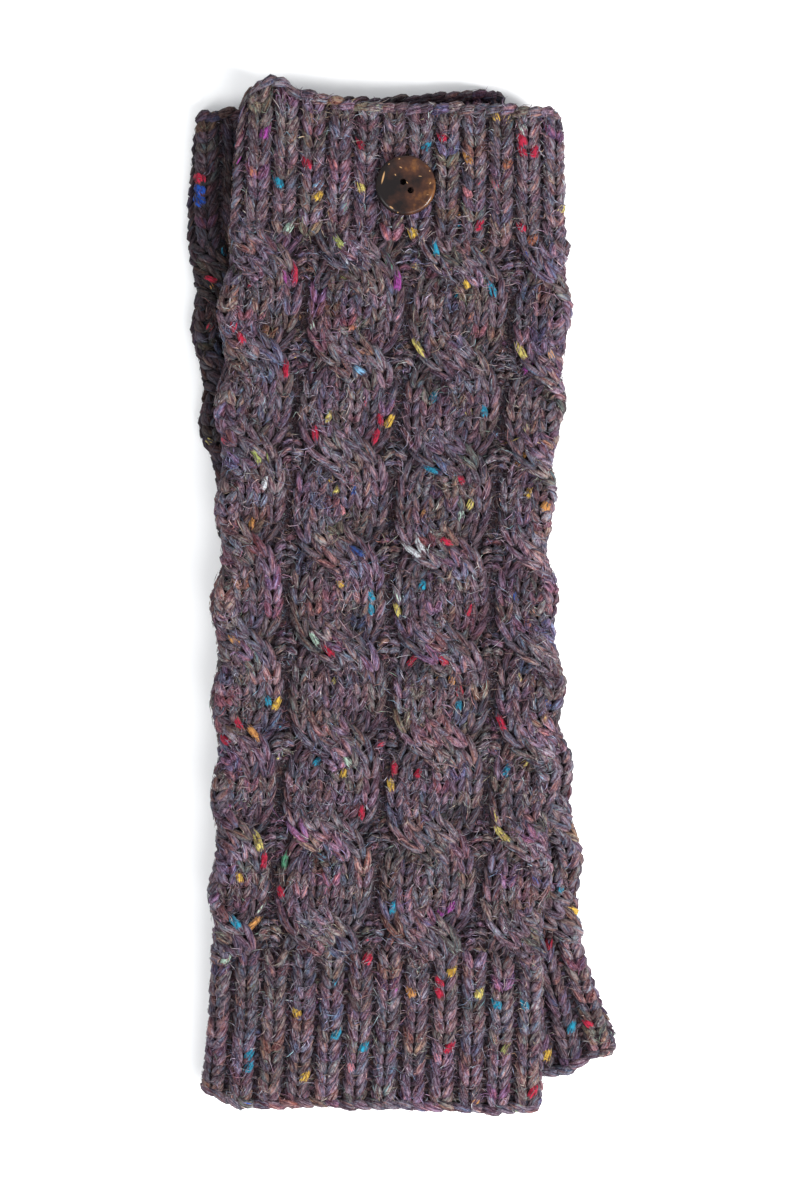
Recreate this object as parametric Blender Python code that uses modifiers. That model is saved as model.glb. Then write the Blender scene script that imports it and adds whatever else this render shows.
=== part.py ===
"""A pair of cable-knit leg warmers laid flat, one on the other, with one button.

Metres, +Z up. +Y points to the top cuffs and +X to the right, seen from above. The lower
warmer rests on z = 0, and the origin is the middle of the pair's footprint.

Each warmer is a tube of knitting pressed flat. It is a loft through slices across the
tube: a slice has a flat underside, round side folds and a top on which the ribs and
cables are raised. The names below are in millimetres, and `down` is the distance below
the middle of the top edge.
"""
import math
from collections import namedtuple

import bmesh
import bpy
from mathutils import Vector

MM = 0.001
SEAM = 0.3                 # gap between pieces that touch
FOOTPRINT_Y = -0.2         # middle of the pair's footprint, in the tables' own frame

# The wall of a flattened tube
BOTTOM_WALL = 4.6          # lower layer, pressed flat
INNER_GAP = 0.8            # between the two layers
TOP_WALL = 3.2             # upper layer, at the bottom of the purl valleys
SLICE_HEIGHT = BOTTOM_WALL + INNER_GAP + TOP_WALL
FOLD_RADIUS = SLICE_HEIGHT / 2
MOUTH_GAP = 2.2            # the layers part a little at the open ends
MOUTH_DEPTH = 14.0
SIDE_RELIEF = 2.6          # what ribs and cables add to the half width
RELIEF_ENDS = -0.8         # the relief stops where the fold turns this far under
RELIEF_FADE = 0.6
EDGE_REACH = 32.0          # how far in from an open end its uneven edge is felt
SECTION_REACH = 8.0        # sections are averaged this far each way

# The cables: seven round the leg, each six stitches of knit and two of purl
CABLE_PITCH = 42.2         # across, from valley to valley
STITCHES_PER_CABLE = 8
STRAND_OFFSET = 1.45       # a strand's middle from the cable's middle, in stitches
STRAND_HALF_WIDTH = 1.85   # in stitches
CROSSING_LEVEL = 1.0       # a strand's height where it crosses in front,
SIDE_LEVEL = 0.70          # and halfway to the next crossing
CABLE_RELIEF = 4.2
STRAND_ROUNDNESS = 0.5
CROSSING_STEP = 39.24      # along, from crossing to crossing
FIRST_CROSSING = 62.9
CROSSING_SPAN = 0.36       # part of a step in which a strand changes sides

# The cuffs, in one-by-one rib
RIB_RELIEF = 3.0
RIB_ROUNDNESS = 0.8
EDGE_RIB_LEVEL = 0.5       # height of the ribs at the very edge
RIB_FADE = 5.0             # and how soon they reach their full height
TOP_CUFF_LENGTH = 55.0
LEG_LENGTH = 293.6

# The button
BUTTON_RADIUS = 12.25
BUTTON_HEIGHT = 3.4
BUTTON_X = 1.9
BUTTON_Y = 168.3
HOLE_RADIUS = 1.2
HOLE_SPACING = 4.6
HOLE_TURN = -48.0          # degrees, the line through the two holes

# How the upper warmer lies over the lower one's sides
SAG_DEPTH = 8.0
SAG_RUN = 34.0

WOOL = (0.115, 0.082, 0.100, 1.0)
COCONUT = (0.030, 0.014, 0.008, 1.0)

Section = namedtuple("Section", "down centre half_width tilt")
Edge = namedtuple("Edge", "across out")
Cuff = namedtuple("Cuff", "rib_pitch rib_phase")
Warmer = namedtuple("Warmer", "name base top_y length valley_start valley_end sections "
                              "top_edge bottom_edge top_cuff bottom_cuff")

UPPER = Warmer(
    name="upper",
    base=SLICE_HEIGHT + CABLE_RELIEF + SEAM,
    top_y=201.7,
    length=412.3,
    valley_start=7.3,
    valley_end=-4.4,
    sections=(
        Section(down=0.0, centre=0.4, half_width=67.0, tilt=-2.5),
        Section(down=20.0, centre=0.2, half_width=68.6, tilt=-2.8),
        Section(down=40.0, centre=-0.2, half_width=69.3, tilt=-3.0),
        Section(down=80.0, centre=-2.0, half_width=72.0, tilt=-3.3),
        Section(down=122.0, centre=-4.3, half_width=71.0, tilt=-3.0),
        Section(down=150.0, centre=-5.8, half_width=69.6, tilt=-2.0),
        Section(down=181.0, centre=-6.9, half_width=67.9, tilt=-1.0),
        Section(down=204.0, centre=-6.3, half_width=70.6, tilt=-0.6),
        Section(down=245.0, centre=-4.9, half_width=72.0, tilt=-0.5),
        Section(down=286.0, centre=-6.8, half_width=69.9, tilt=-0.5),
        Section(down=327.0, centre=-8.8, half_width=69.1, tilt=-0.5),
        Section(down=368.0, centre=-9.6, half_width=69.7, tilt=-0.7),
        Section(down=395.0, centre=-11.2, half_width=70.4, tilt=-0.8),
        Section(down=412.3, centre=-12.2, half_width=71.2, tilt=-0.8),
    ),
    top_edge=(
        Edge(across=-1.00, out=-4.3),
        Edge(across=-0.95, out=0.4),
        Edge(across=-0.90, out=4.6),
        Edge(across=-0.80, out=8.1),
        Edge(across=-0.71, out=7.1),
        Edge(across=-0.64, out=3.2),
        Edge(across=-0.35, out=0.4),
        Edge(across=0.00, out=-1.0),
        Edge(across=0.70, out=0.6),
        Edge(across=0.93, out=1.3),
        Edge(across=1.00, out=-1.6),
    ),
    bottom_edge=(
        Edge(across=-1.00, out=-5.5),
        Edge(across=-0.90, out=-3.4),
        Edge(across=-0.80, out=0.0),
        Edge(across=-0.73, out=1.6),
        Edge(across=-0.64, out=-0.4),
        Edge(across=0.00, out=0.0),
        Edge(across=0.90, out=0.9),
        Edge(across=1.00, out=-2.2),
    ),
    top_cuff=Cuff(rib_pitch=10.9, rib_phase=2.5),
    bottom_cuff=Cuff(rib_pitch=11.4, rib_phase=-1.2),
)

UNDER = Warmer(
    name="under",
    base=0.0,
    top_y=202.9,
    length=405.0,
    valley_start=3.0,
    valley_end=-3.0,
    sections=(
        Section(down=0.0, centre=-21.2, half_width=65.4, tilt=2.9),
        Section(down=20.0, centre=-20.4, half_width=66.8, tilt=3.4),
        Section(down=41.0, centre=-19.5, half_width=69.7, tilt=4.0),
        Section(down=82.0, centre=-16.0, half_width=70.3, tilt=4.6),
        Section(down=123.0, centre=-12.5, half_width=70.6, tilt=4.8),
        Section(down=145.0, centre=-10.6, half_width=68.8, tilt=4.8),
        Section(down=172.0, centre=-8.0, half_width=66.0, tilt=4.8),
        Section(down=205.0, centre=-5.6, half_width=68.0, tilt=4.8),
        Section(down=262.0, centre=-0.7, half_width=68.0, tilt=4.8),
        Section(down=287.0, centre=1.4, half_width=70.8, tilt=4.8),
        Section(down=328.0, centre=5.0, half_width=70.2, tilt=4.8),
        Section(down=352.0, centre=7.2, half_width=69.0, tilt=4.9),
        Section(down=369.0, centre=12.0, half_width=69.8, tilt=5.0),
        Section(down=385.0, centre=16.4, half_width=70.9, tilt=5.0),
        Section(down=405.0, centre=19.4, half_width=71.8, tilt=5.0),
    ),
    top_edge=(
        Edge(across=-1.00, out=-3.0),
        Edge(across=-0.93, out=-0.2),
        Edge(across=0.00, out=0.0),
        Edge(across=0.93, out=1.4),
        Edge(across=1.00, out=-1.2),
    ),
    bottom_edge=(
        Edge(across=-1.00, out=-3.0),
        Edge(across=-0.93, out=-0.2),
        Edge(across=0.60, out=0.2),
        Edge(across=0.72, out=-0.6),
        Edge(across=0.83, out=-4.8),
        Edge(across=1.00, out=-8.0),
    ),
    top_cuff=Cuff(rib_pitch=10.9, rib_phase=1.0),
    bottom_cuff=Cuff(rib_pitch=11.4, rib_phase=-2.0),
)

# How finely the lofts are cut
CABLE_COLUMNS = (0.0, 0.65, 1.1, 2.0, 3.0, 4.0, 5.0, 6.0, 6.9, 7.35)   # from a valley
FIRST_COLUMN = 5.0         # the lattice of cable columns that stays on the flat top
LAST_COLUMN = 27.0
CABLES_ON_TOP = 4
RINGS_PER_CROSSING = 7
LEG_INNER_STEPS = 5
FOLD_STEPS = 6
BOTTOM_STEPS = 7
RIB_COLUMNS = (0.0, 0.2, 0.5, 0.8)                           # parts of a rib
RIBS_EACH_SIDE = 6         # of the middle, on the flat top
CUFF_RINGS = 5


def clamp(value, low=0.0, high=1.0):
    return max(low, min(high, value))


def ease(value):
    """Smooth step from 0 to 1."""
    t = clamp(value)
    return t * t * (3.0 - 2.0 * t)


def blend(a, b, t):
    return a + (b - a) * t


def read_table(rows, key, where, *columns):
    """Smooth values of the named columns at one place of a table sorted by `key`."""
    for low, high in zip(rows, rows[1:]):
        if where <= getattr(high, key):
            break
    span = getattr(high, key) - getattr(low, key)
    t = clamp((where - getattr(low, key)) / span)
    return [blend(getattr(low, name), getattr(high, name), t) for name in columns]


def slice_at(warmer, down):
    """Centre, half width and tilt of a slice, averaged over a short stretch."""
    total = [0.0, 0.0, 0.0]
    for step in (-1.0, -0.5, 0.0, 0.5, 1.0):
        values = read_table(warmer.sections, "down", down + step * SECTION_REACH,
                            "centre", "half_width", "tilt")
        total = [a + b / 5.0 for a, b in zip(total, values)]
    return total


def flat_half(warmer, down):
    """Half width of a slice's flat top, between its side folds."""
    return slice_at(warmer, down)[1] - SIDE_RELIEF - FOLD_RADIUS


def cable_relief(column, down):
    """Height of the cables over the purl valleys, at a stitch column."""
    x = (column % STITCHES_PER_CABLE) - STITCHES_PER_CABLE / 2
    place = (down - FIRST_CROSSING) / CROSSING_STEP
    highest = 0.0
    for crossing in range(math.floor(place), math.floor(place) + 2):
        p = place - crossing
        near = min(abs(p), 1.0 - abs(p))
        turn = math.sin(clamp(near / CROSSING_SPAN) * math.pi / 2)
        middle = math.copysign(STRAND_OFFSET * turn, p)
        level = SIDE_LEVEL + (CROSSING_LEVEL - SIDE_LEVEL) * math.cos(math.pi * p)
        away = 1.0 - ((x - middle) / STRAND_HALF_WIDTH) ** 2
        if away > 0.0:
            highest = max(highest, CABLE_RELIEF * level * away ** STRAND_ROUNDNESS)
    return highest


def rib_relief(part):
    """Height of a rib over its purl valley, `part` of a rib from the valley."""
    return RIB_RELIEF * abs(math.sin(math.pi * part)) ** RIB_ROUNDNESS


def ring_point(flat, radius, middle, arc):
    """Point and outward direction on a slice's outline, `arc` from the top's middle."""
    side = math.copysign(1.0, arc)
    past = abs(arc) - flat
    if past <= 0.0:
        return (arc, middle + radius), (0.0, 1.0)
    turn = past / radius
    if turn < math.pi:
        point = (side * (flat + radius * math.sin(turn)), middle + radius * math.cos(turn))
        return point, (side * math.sin(turn), math.cos(turn))
    return (side * (flat - (past - math.pi * radius)), middle - radius), (0.0, -1.0)


def edge_shift(warmer, down, across):
    """How far a point near an open end moves along the tube, to follow the edge."""
    from_top = down
    from_bottom = warmer.length - down
    shift = 0.0
    if from_top < EDGE_REACH:
        out = read_table(warmer.top_edge, "across", clamp(across, -1, 1), "out")[0]
        shift -= out * (1.0 - ease(from_top / EDGE_REACH))
    if from_bottom < EDGE_REACH:
        out = read_table(warmer.bottom_edge, "across", clamp(across, -1, 1), "out")[0]
        shift += out * (1.0 - ease(from_bottom / EDGE_REACH))
    return shift


def sag(x, y):
    """How far the upper warmer hangs down beside the lower one."""
    down = UNDER.top_y - y
    centre, half, _ = slice_at(UNDER, clamp(down, 0.0, UNDER.length))
    beside = max(abs(x - centre) - half, 0.0)
    below = max(down - UNDER.length, 0.0)
    return SAG_DEPTH * ease(math.hypot(beside, below) / SAG_RUN)


def place(warmer, down, across, height):
    """World position of a point of a slice, `across` from its centre line."""
    centre, half, tilt = slice_at(warmer, down)
    along = down + edge_shift(warmer, down, across / half)
    turn = math.radians(tilt)
    x = centre + across * math.cos(turn)
    y = warmer.top_y - along + across * math.sin(turn)
    z = warmer.base + height
    if warmer.name == UPPER.name:
        z -= sag(x, y)
    return Vector((x, y - FOOTPRINT_Y, z)) * MM


def outer_ring(warmer, down, arcs, relief):
    """Outer points of one slice, with the relief raised on its top and folds."""
    flat = flat_half(warmer, down)
    points = []
    for arc in arcs:
        (across, height), (nx, nz) = ring_point(flat, FOLD_RADIUS, FOLD_RADIUS, arc)
        raised = relief(arc, down) * ease((nz - RELIEF_ENDS) / RELIEF_FADE)
        points.append(place(warmer, down, across + nx * raised, height + nz * raised))
    return points


def inner_ring(warmer, down, arcs):
    """Inner points of one slice, one for each outer point."""
    flat = flat_half(warmer, down)
    to_mouth = min(down, warmer.length - down)
    gap = blend(MOUTH_GAP, INNER_GAP, ease(to_mouth / MOUTH_DEPTH))
    radius = gap / 2
    middle = BOTTOM_WALL + INNER_GAP / 2
    points = []
    for arc in arcs:
        past = abs(arc) - flat
        if past <= 0.0:
            inner = arc
        elif past < math.pi * FOLD_RADIUS:
            inner = math.copysign(flat + past * radius / FOLD_RADIUS, arc)
        else:
            inner = math.copysign(flat + math.pi * radius + past - math.pi * FOLD_RADIUS, arc)
        (across, height), _ = ring_point(flat, radius, middle, inner)
        points.append(place(warmer, down, across, height))
    return points


def bottom_arcs(flat):
    """Arc positions along a slice's flat underside, from its right fold to its left."""
    right = flat + math.pi * FOLD_RADIUS
    return [right + 2 * flat * step / BOTTOM_STEPS for step in range(1, BOTTOM_STEPS)]


def wrap(arc, flat):
    """Arc positions past the underside's middle, counted from the left instead."""
    whole = 4 * flat + 2 * math.pi * FOLD_RADIUS
    return arc - whole if arc > whole / 2 else arc


def leg_arcs(warmer, down):
    """Arc positions round a slice of the leg, with columns that follow the cables."""
    flat = flat_half(warmer, down)
    edge = flat + math.pi * FOLD_RADIUS
    start = column_arc(warmer, down, FIRST_COLUMN)
    end = column_arc(warmer, down, LAST_COLUMN)
    arcs = [blend(-edge, start, step / FOLD_STEPS) for step in range(FOLD_STEPS)]
    for cable in range(CABLES_ON_TOP):
        for column in CABLE_COLUMNS:
            stitch = cable * STITCHES_PER_CABLE + column
            if FIRST_COLUMN <= stitch <= LAST_COLUMN:
                arcs.append(column_arc(warmer, down, stitch))
    arcs += [blend(end, edge, step / FOLD_STEPS) for step in range(1, FOLD_STEPS + 1)]
    return arcs + [wrap(arc, flat) for arc in bottom_arcs(flat)]


def valley_arc(warmer, down):
    """Arc position of the middle purl valley, which drifts as the tube is twisted."""
    return blend(warmer.valley_start, warmer.valley_end, down / warmer.length)


def column_arc(warmer, down, column):
    stitch = CABLE_PITCH / STITCHES_PER_CABLE
    return valley_arc(warmer, down) + (column - 2 * STITCHES_PER_CABLE) * stitch


def arc_column(warmer, down, arc):
    stitch = CABLE_PITCH / STITCHES_PER_CABLE
    return 2 * STITCHES_PER_CABLE + (arc - valley_arc(warmer, down)) / stitch


def rib_width(warmer, cuff, down):
    """Width of a rib at a slice: the ribs spread where the cuff widens."""
    narrow = min(section.half_width for section in warmer.sections)
    return cuff.rib_pitch * blend(1.0, slice_at(warmer, down)[1] / narrow, 0.5)


def cuff_arcs(warmer, cuff, down):
    """Arc positions round a slice of a cuff, four for each rib."""
    flat = flat_half(warmer, down)
    edge = flat + math.pi * FOLD_RADIUS
    width = rib_width(warmer, cuff, down)
    start = cuff.rib_phase - RIBS_EACH_SIDE * width
    end = cuff.rib_phase + RIBS_EACH_SIDE * width
    arcs = [blend(-edge, start, step / FOLD_STEPS)
            for step in range(FOLD_STEPS)]
    for rib in range(-RIBS_EACH_SIDE, RIBS_EACH_SIDE):
        arcs += [cuff.rib_phase + (rib + part) * width for part in RIB_COLUMNS]
    arcs += [blend(end, edge, step / FOLD_STEPS) for step in range(FOLD_STEPS + 1)]
    return arcs + [wrap(arc, flat) for arc in bottom_arcs(flat)]


def loft_wall(name, outer, inner, material, collection):
    """One closed wall: an outer and an inner loft, joined at both ends."""
    mesh = bpy.data.meshes.new(name)
    bm = bmesh.new()
    outer_rings = [[bm.verts.new(point) for point in ring] for ring in outer]
    inner_rings = [[bm.verts.new(point) for point in ring] for ring in inner]
    loops = outer_rings + inner_rings[::-1]
    for ring, following in zip(loops, loops[1:] + loops[:1]):
        for index in range(len(ring)):
            after = (index + 1) % len(ring)
            bm.faces.new((ring[index], ring[after], following[after], following[index]))
    bmesh.ops.triangulate(bm, faces=bm.faces[:])
    bmesh.ops.recalc_face_normals(bm, faces=bm.faces[:])
    bm.to_mesh(mesh)
    bm.free()
    mesh.shade_smooth()
    mesh.set_sharp_from_angle(angle=math.radians(50))
    mesh.materials.append(material)
    item = bpy.data.objects.new(name, mesh)
    collection.objects.link(item)
    return item


def make_leg(warmer, material, collection):
    """The cabled leg, between the two cuffs."""
    start = TOP_CUFF_LENGTH + SEAM
    end = TOP_CUFF_LENGTH + LEG_LENGTH - SEAM
    step = CROSSING_STEP / RINGS_PER_CROSSING
    first = math.ceil((start - FIRST_CROSSING) / step + 0.3)
    last = math.floor((end - FIRST_CROSSING) / step - 0.3)
    downs = [start] + [FIRST_CROSSING + index * step for index in range(first, last + 1)] + [end]

    def relief(arc, down):
        return cable_relief(arc_column(warmer, down, arc), down)

    outer = [outer_ring(warmer, down, leg_arcs(warmer, down), relief) for down in downs]
    plain = [blend(start, end, part / LEG_INNER_STEPS) for part in range(LEG_INNER_STEPS + 1)]
    inner = [inner_ring(warmer, down, leg_arcs(warmer, down)) for down in plain]
    return loft_wall(warmer.name + "_leg", outer, inner, material, collection)


def make_cuff(warmer, cuff, name, start, end, open_end, material, collection):
    """A ribbed cuff. Its ribs start lower at the open end, where the edge is cast on."""
    fade = RIB_FADE if open_end == start else -RIB_FADE
    near = sorted((open_end, open_end + fade))
    plain = [blend(near[1], end, step / CUFF_RINGS) for step in range(1, CUFF_RINGS + 1)]
    downs = near + plain
    if open_end == end:
        downs = [blend(start, near[0], step / CUFF_RINGS) for step in range(CUFF_RINGS)] + near

    def relief(arc, down):
        part = (arc - cuff.rib_phase) / rib_width(warmer, cuff, down)
        return rib_relief(part) * blend(EDGE_RIB_LEVEL, 1.0, ease(abs(down - open_end) / RIB_FADE))

    outer = [outer_ring(warmer, down, cuff_arcs(warmer, cuff, down), relief) for down in downs]
    inner = [inner_ring(warmer, down, cuff_arcs(warmer, cuff, down))
             for down in sorted((start, open_end + 3 * fade, end))]
    return loft_wall(name, outer, inner, material, collection)


def make_warmer(warmer, material, collection):
    leg_end = TOP_CUFF_LENGTH + LEG_LENGTH
    make_cuff(warmer, warmer.top_cuff, warmer.name + "_top_cuff",
              0.0, TOP_CUFF_LENGTH, 0.0, material, collection)
    make_leg(warmer, material, collection)
    make_cuff(warmer, warmer.bottom_cuff, warmer.name + "_bottom_cuff",
              leg_end, warmer.length, warmer.length, material, collection)


def turned(name, profile, steps, collection):
    """A turned solid, from a profile that runs down its outer side."""
    mesh = bpy.data.meshes.new(name)
    points = [Vector((radius, 0.0, height)) * MM for radius, height in profile]
    mesh.from_pydata(points, [(i, i + 1) for i in range(len(points) - 1)], [])
    item = bpy.data.objects.new(name, mesh)
    collection.objects.link(item)
    screw = item.modifiers.new("Turn", "SCREW")
    screw.steps = steps
    screw.render_steps = steps
    screw.use_merge_vertices = True
    screw.merge_threshold = 0.00001
    return item


def make_button(material, collection, cutters):
    """A round two-hole button, a little dished, that lies on the upper cuff's ribs."""
    rest = UPPER.base + SLICE_HEIGHT + RIB_RELIEF + SEAM
    profile = (
        (0.0, BUTTON_HEIGHT - 0.9),
        (BUTTON_RADIUS - 3.2, BUTTON_HEIGHT - 0.7),
        (BUTTON_RADIUS - 1.8, BUTTON_HEIGHT),
        (BUTTON_RADIUS - 0.6, BUTTON_HEIGHT - 0.3),
        (BUTTON_RADIUS, BUTTON_HEIGHT - 1.3),
        (BUTTON_RADIUS - 0.5, 0.7),
        (BUTTON_RADIUS - 1.8, 0.0),
        (0.0, 0.0),
    )
    button = turned("upper_button", profile, 28, collection)
    button.location = Vector((BUTTON_X, BUTTON_Y, rest)) * MM
    button.data.materials.append(material)
    turn = math.radians(HOLE_TURN)
    for side in (-1, 1):
        reach = side * HOLE_SPACING / 2
        bpy.ops.mesh.primitive_cylinder_add(
            vertices=10, radius=HOLE_RADIUS * MM, depth=3 * BUTTON_HEIGHT * MM,
            location=Vector((BUTTON_X + reach * math.cos(turn),
                             BUTTON_Y + reach * math.sin(turn), rest)) * MM)
        cutter = bpy.context.object
        cutter.name = "button_hole_cutter_%d" % (side + 2)
        cutter.hide_render = True
        cutter.display_type = "WIRE"
        for owner in cutter.users_collection:
            owner.objects.unlink(cutter)
        cutters.objects.link(cutter)
        cut = button.modifiers.new("Hole", "BOOLEAN")
        cut.operation = "DIFFERENCE"
        cut.object = cutter
    return button


def make_material(name, colour, roughness):
    material = bpy.data.materials.new(name)
    material.use_nodes = True
    shader = material.node_tree.nodes["Principled BSDF"]
    shader.inputs["Base Color"].default_value = colour
    shader.inputs["Roughness"].default_value = roughness
    shader.inputs["Metallic"].default_value = 0.0
    material.diffuse_color = colour
    return material


def main():
    for item in list(bpy.data.objects):
        bpy.data.objects.remove(item, do_unlink=True)
    parts = bpy.data.collections.new("Leg warmers")
    cutters = bpy.data.collections.new("Cutters")
    bpy.context.scene.collection.children.link(parts)
    bpy.context.scene.collection.children.link(cutters)
    make_warmer(UNDER, make_material("Wool, lower warmer", WOOL, 0.95), parts)
    make_warmer(UPPER, make_material("Wool, upper warmer", WOOL, 0.95), parts)
    make_button(make_material("Coconut shell", COCONUT, 0.3), parts, cutters)


main()
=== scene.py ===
"""The looks of a pair of cable-knit leg warmers laid flat, one on the other.

Every knit stitch is two short lengths of yarn, and every purl stitch is one. They are laid
in rows and columns on a shell of cloth that has the form of the solids. Millimetres are
used throughout and turned into metres where a mesh is made. `down` is the distance below
the middle of a warmer's top edge, `arc` the distance round its slice from the middle of
its top, and `lift` the height over the ground of its cloth.
"""
import math
from collections import namedtuple

import bpy
import numpy as np
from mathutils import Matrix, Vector


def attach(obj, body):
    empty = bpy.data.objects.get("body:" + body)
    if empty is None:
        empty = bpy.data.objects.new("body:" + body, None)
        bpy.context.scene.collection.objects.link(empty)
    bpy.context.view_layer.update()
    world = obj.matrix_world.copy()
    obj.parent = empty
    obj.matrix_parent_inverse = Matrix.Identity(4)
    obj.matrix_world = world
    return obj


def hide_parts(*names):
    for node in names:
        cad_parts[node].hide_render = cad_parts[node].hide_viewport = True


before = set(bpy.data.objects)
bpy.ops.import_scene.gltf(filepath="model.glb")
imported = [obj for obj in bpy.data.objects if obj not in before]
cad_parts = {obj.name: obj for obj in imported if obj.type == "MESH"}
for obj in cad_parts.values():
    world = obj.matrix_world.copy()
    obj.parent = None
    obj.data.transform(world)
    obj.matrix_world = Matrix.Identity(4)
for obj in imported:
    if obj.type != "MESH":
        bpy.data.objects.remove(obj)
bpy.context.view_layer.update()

MM = 0.001

# The photograph's scale and middle, for the camera and the coloured flecks
MM_PER_PIXEL = 0.41
MIDDLE_X_PX = 400.5
MIDDLE_Y_PX = 595.5

SEAM = 0.3                 # gap between pieces that touch

# The wall of a flattened tube, as in the solids
FOOTPRINT_Y = -0.2         # middle of the pair's footprint, in the tables' own frame
BOTTOM_WALL = 4.6
INNER_GAP = 0.8
TOP_WALL = 3.2
SLICE_HEIGHT = BOTTOM_WALL + INNER_GAP + TOP_WALL
FOLD_RADIUS = SLICE_HEIGHT / 2
MOUTH_FLARE = 0.7
MOUTH_DEPTH = 14.0
SIDE_RELIEF = 2.6          # what ribs and cables add to the half width
RELIEF_ENDS = -0.8         # the relief is pressed flat where the fold turns this far under
RELIEF_FADE = 0.6
EDGE_REACH = 32.0          # how far in from an open end its uneven edge is felt
SECTION_REACH = 8.0        # sections are averaged this far each way
PRESSED_FROM = 5.2         # a lift that comes out level with the flat underside
PRESSED = 0.42             # how much of a stitch's height is left there
UNDERSIDE = -0.05          # the highest lift there, so that nothing sinks into the floor

# The cables
CABLE_PITCH = 42.2
CABLE_STITCHES = 8         # six knit columns and two purl columns
CABLES_ROUND = 7
CABLES_ON_TOP = 4
STITCH = CABLE_PITCH / CABLE_STITCHES
STRAND_OFFSET = 1.8        # a strand's middle from the cable's middle, in stitches
STRAND_HALF_WIDTH = 2.15   # in stitches
CABLE_RELIEF = 4.2
SIDE_LEVEL = 0.64          # of a strand's height at a crossing, halfway to the next
CROSSING_STEP = 39.24
FIRST_CROSSING = 65.5
CROSSING_TURN = 5.8        # how sharply a strand crosses: the slope of its course there
FOLD_BULGE = 0.30          # how much higher a cable stands on a side fold
FOLD_WAIST = 1.0           # and how much lower where its strands cross
BULGE_BEFORE = 2.0         # that starts this far before the fold
BULGE_RUN = 5.0            # and is whole this far on
FOLD_RUN = 3.0             # what lies close to a fold does so this far past its start

# The cuffs
RIB_RELIEF = 3.0
RIB_ROW = 4.5
RIM = 2.3                  # the rim's chain takes this much of a cuff's end
RIBS_ON_TOP = 7            # each side of the middle
RIBS_UNDER = 12
TOP_CUFF_LENGTH = 55.0
LEG_LENGTH = 293.6
LEG_END = TOP_CUFF_LENGTH + LEG_LENGTH

# The button
BUTTON_RADIUS = 12.25
BUTTON_HEIGHT = 3.4
BUTTON_X = 2.1
BUTTON_Y = 167.4
HOLE_RADIUS = 1.3
HOLE_SHIFT = (0.5, -0.4)   # the middle of the two holes, from the button's
HOLE_SPACING = 4.6
HOLE_TURN = math.radians(-48.0)

# How far the upper warmer hangs down beside the lower one, and over what distance
SAG_DEPTH = 8.0
SAG_RUN = 34.0

Section = namedtuple("Section", "down centre half_width tilt")
Edge = namedtuple("Edge", "across out")
Cuff = namedtuple("Cuff", "rib_pitch rib_phase")
Warmer = namedtuple("Warmer", "name base top_y length valley_start valley_end sections "
                              "top_edge bottom_edge top_cuff bottom_cuff")

UPPER = Warmer(
    name="upper",
    base=SLICE_HEIGHT + CABLE_RELIEF + SEAM,
    top_y=201.7,
    length=412.3,
    valley_start=7.3,
    valley_end=-4.4,
    sections=(
        Section(0.0, 0.4, 67.0, -2.5),
        Section(20.0, 0.2, 68.6, -2.8),
        Section(40.0, -0.2, 69.3, -3.0),
        Section(80.0, -2.0, 72.0, -3.3),
        Section(122.0, -4.3, 71.0, -3.0),
        Section(150.0, -5.8, 69.6, -2.0),
        Section(181.0, -6.9, 67.9, -1.0),
        Section(204.0, -6.3, 70.6, -0.6),
        Section(245.0, -4.9, 72.0, -0.5),
        Section(286.0, -6.8, 69.9, -0.5),
        Section(327.0, -8.8, 69.1, -0.5),
        Section(368.0, -9.6, 69.7, -0.7),
        Section(395.0, -11.2, 70.4, -0.8),
        Section(412.3, -12.2, 71.2, -0.8),
    ),
    top_edge=(
        Edge(-1.00, -4.3), Edge(-0.95, 0.4), Edge(-0.90, 4.6), Edge(-0.80, 8.1),
        Edge(-0.71, 7.1), Edge(-0.64, 3.2), Edge(-0.35, 0.4), Edge(0.00, -1.0),
        Edge(0.70, 0.6), Edge(0.93, 1.3), Edge(1.00, -1.6),
    ),
    bottom_edge=(
        Edge(-1.00, -5.5), Edge(-0.90, -3.4), Edge(-0.80, 0.0), Edge(-0.73, 1.6),
        Edge(-0.64, -0.4), Edge(0.00, 0.0), Edge(0.90, 0.9), Edge(1.00, -2.2),
    ),
    top_cuff=Cuff(rib_pitch=10.9, rib_phase=2.5),
    bottom_cuff=Cuff(rib_pitch=11.4, rib_phase=-1.2),
)

UNDER = Warmer(
    name="under",
    base=0.0,
    top_y=202.9,
    length=405.0,
    valley_start=3.0,
    valley_end=-3.0,
    sections=(
        Section(0.0, -21.2, 65.4, 2.9),
        Section(20.0, -20.4, 66.8, 3.4),
        Section(41.0, -19.5, 69.7, 4.0),
        Section(82.0, -16.0, 70.3, 4.6),
        Section(123.0, -12.5, 70.6, 4.8),
        Section(145.0, -10.6, 68.8, 4.8),
        Section(172.0, -8.0, 66.0, 4.8),
        Section(205.0, -5.6, 68.0, 4.8),
        Section(262.0, -0.7, 68.0, 4.8),
        Section(287.0, 1.4, 70.8, 4.8),
        Section(328.0, 5.0, 70.2, 4.8),
        Section(352.0, 7.2, 69.0, 4.9),
        Section(369.0, 12.0, 69.8, 5.0),
        Section(385.0, 16.4, 70.9, 5.0),
        Section(405.0, 19.4, 71.8, 5.0),
    ),
    top_edge=(
        Edge(-1.00, -3.0), Edge(-0.93, -0.2), Edge(-0.50, 0.0), Edge(0.00, 1.4),
        Edge(0.93, 2.3), Edge(1.00, -0.4),
    ),
    bottom_edge=(
        Edge(-1.00, -3.0), Edge(-0.93, -0.2), Edge(0.60, 0.2), Edge(0.72, -0.6),
        Edge(0.83, -4.8), Edge(1.00, -8.0),
    ),
    top_cuff=Cuff(rib_pitch=10.9, rib_phase=1.0),
    bottom_cuff=Cuff(rib_pitch=11.4, rib_phase=-2.0),
)

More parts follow.
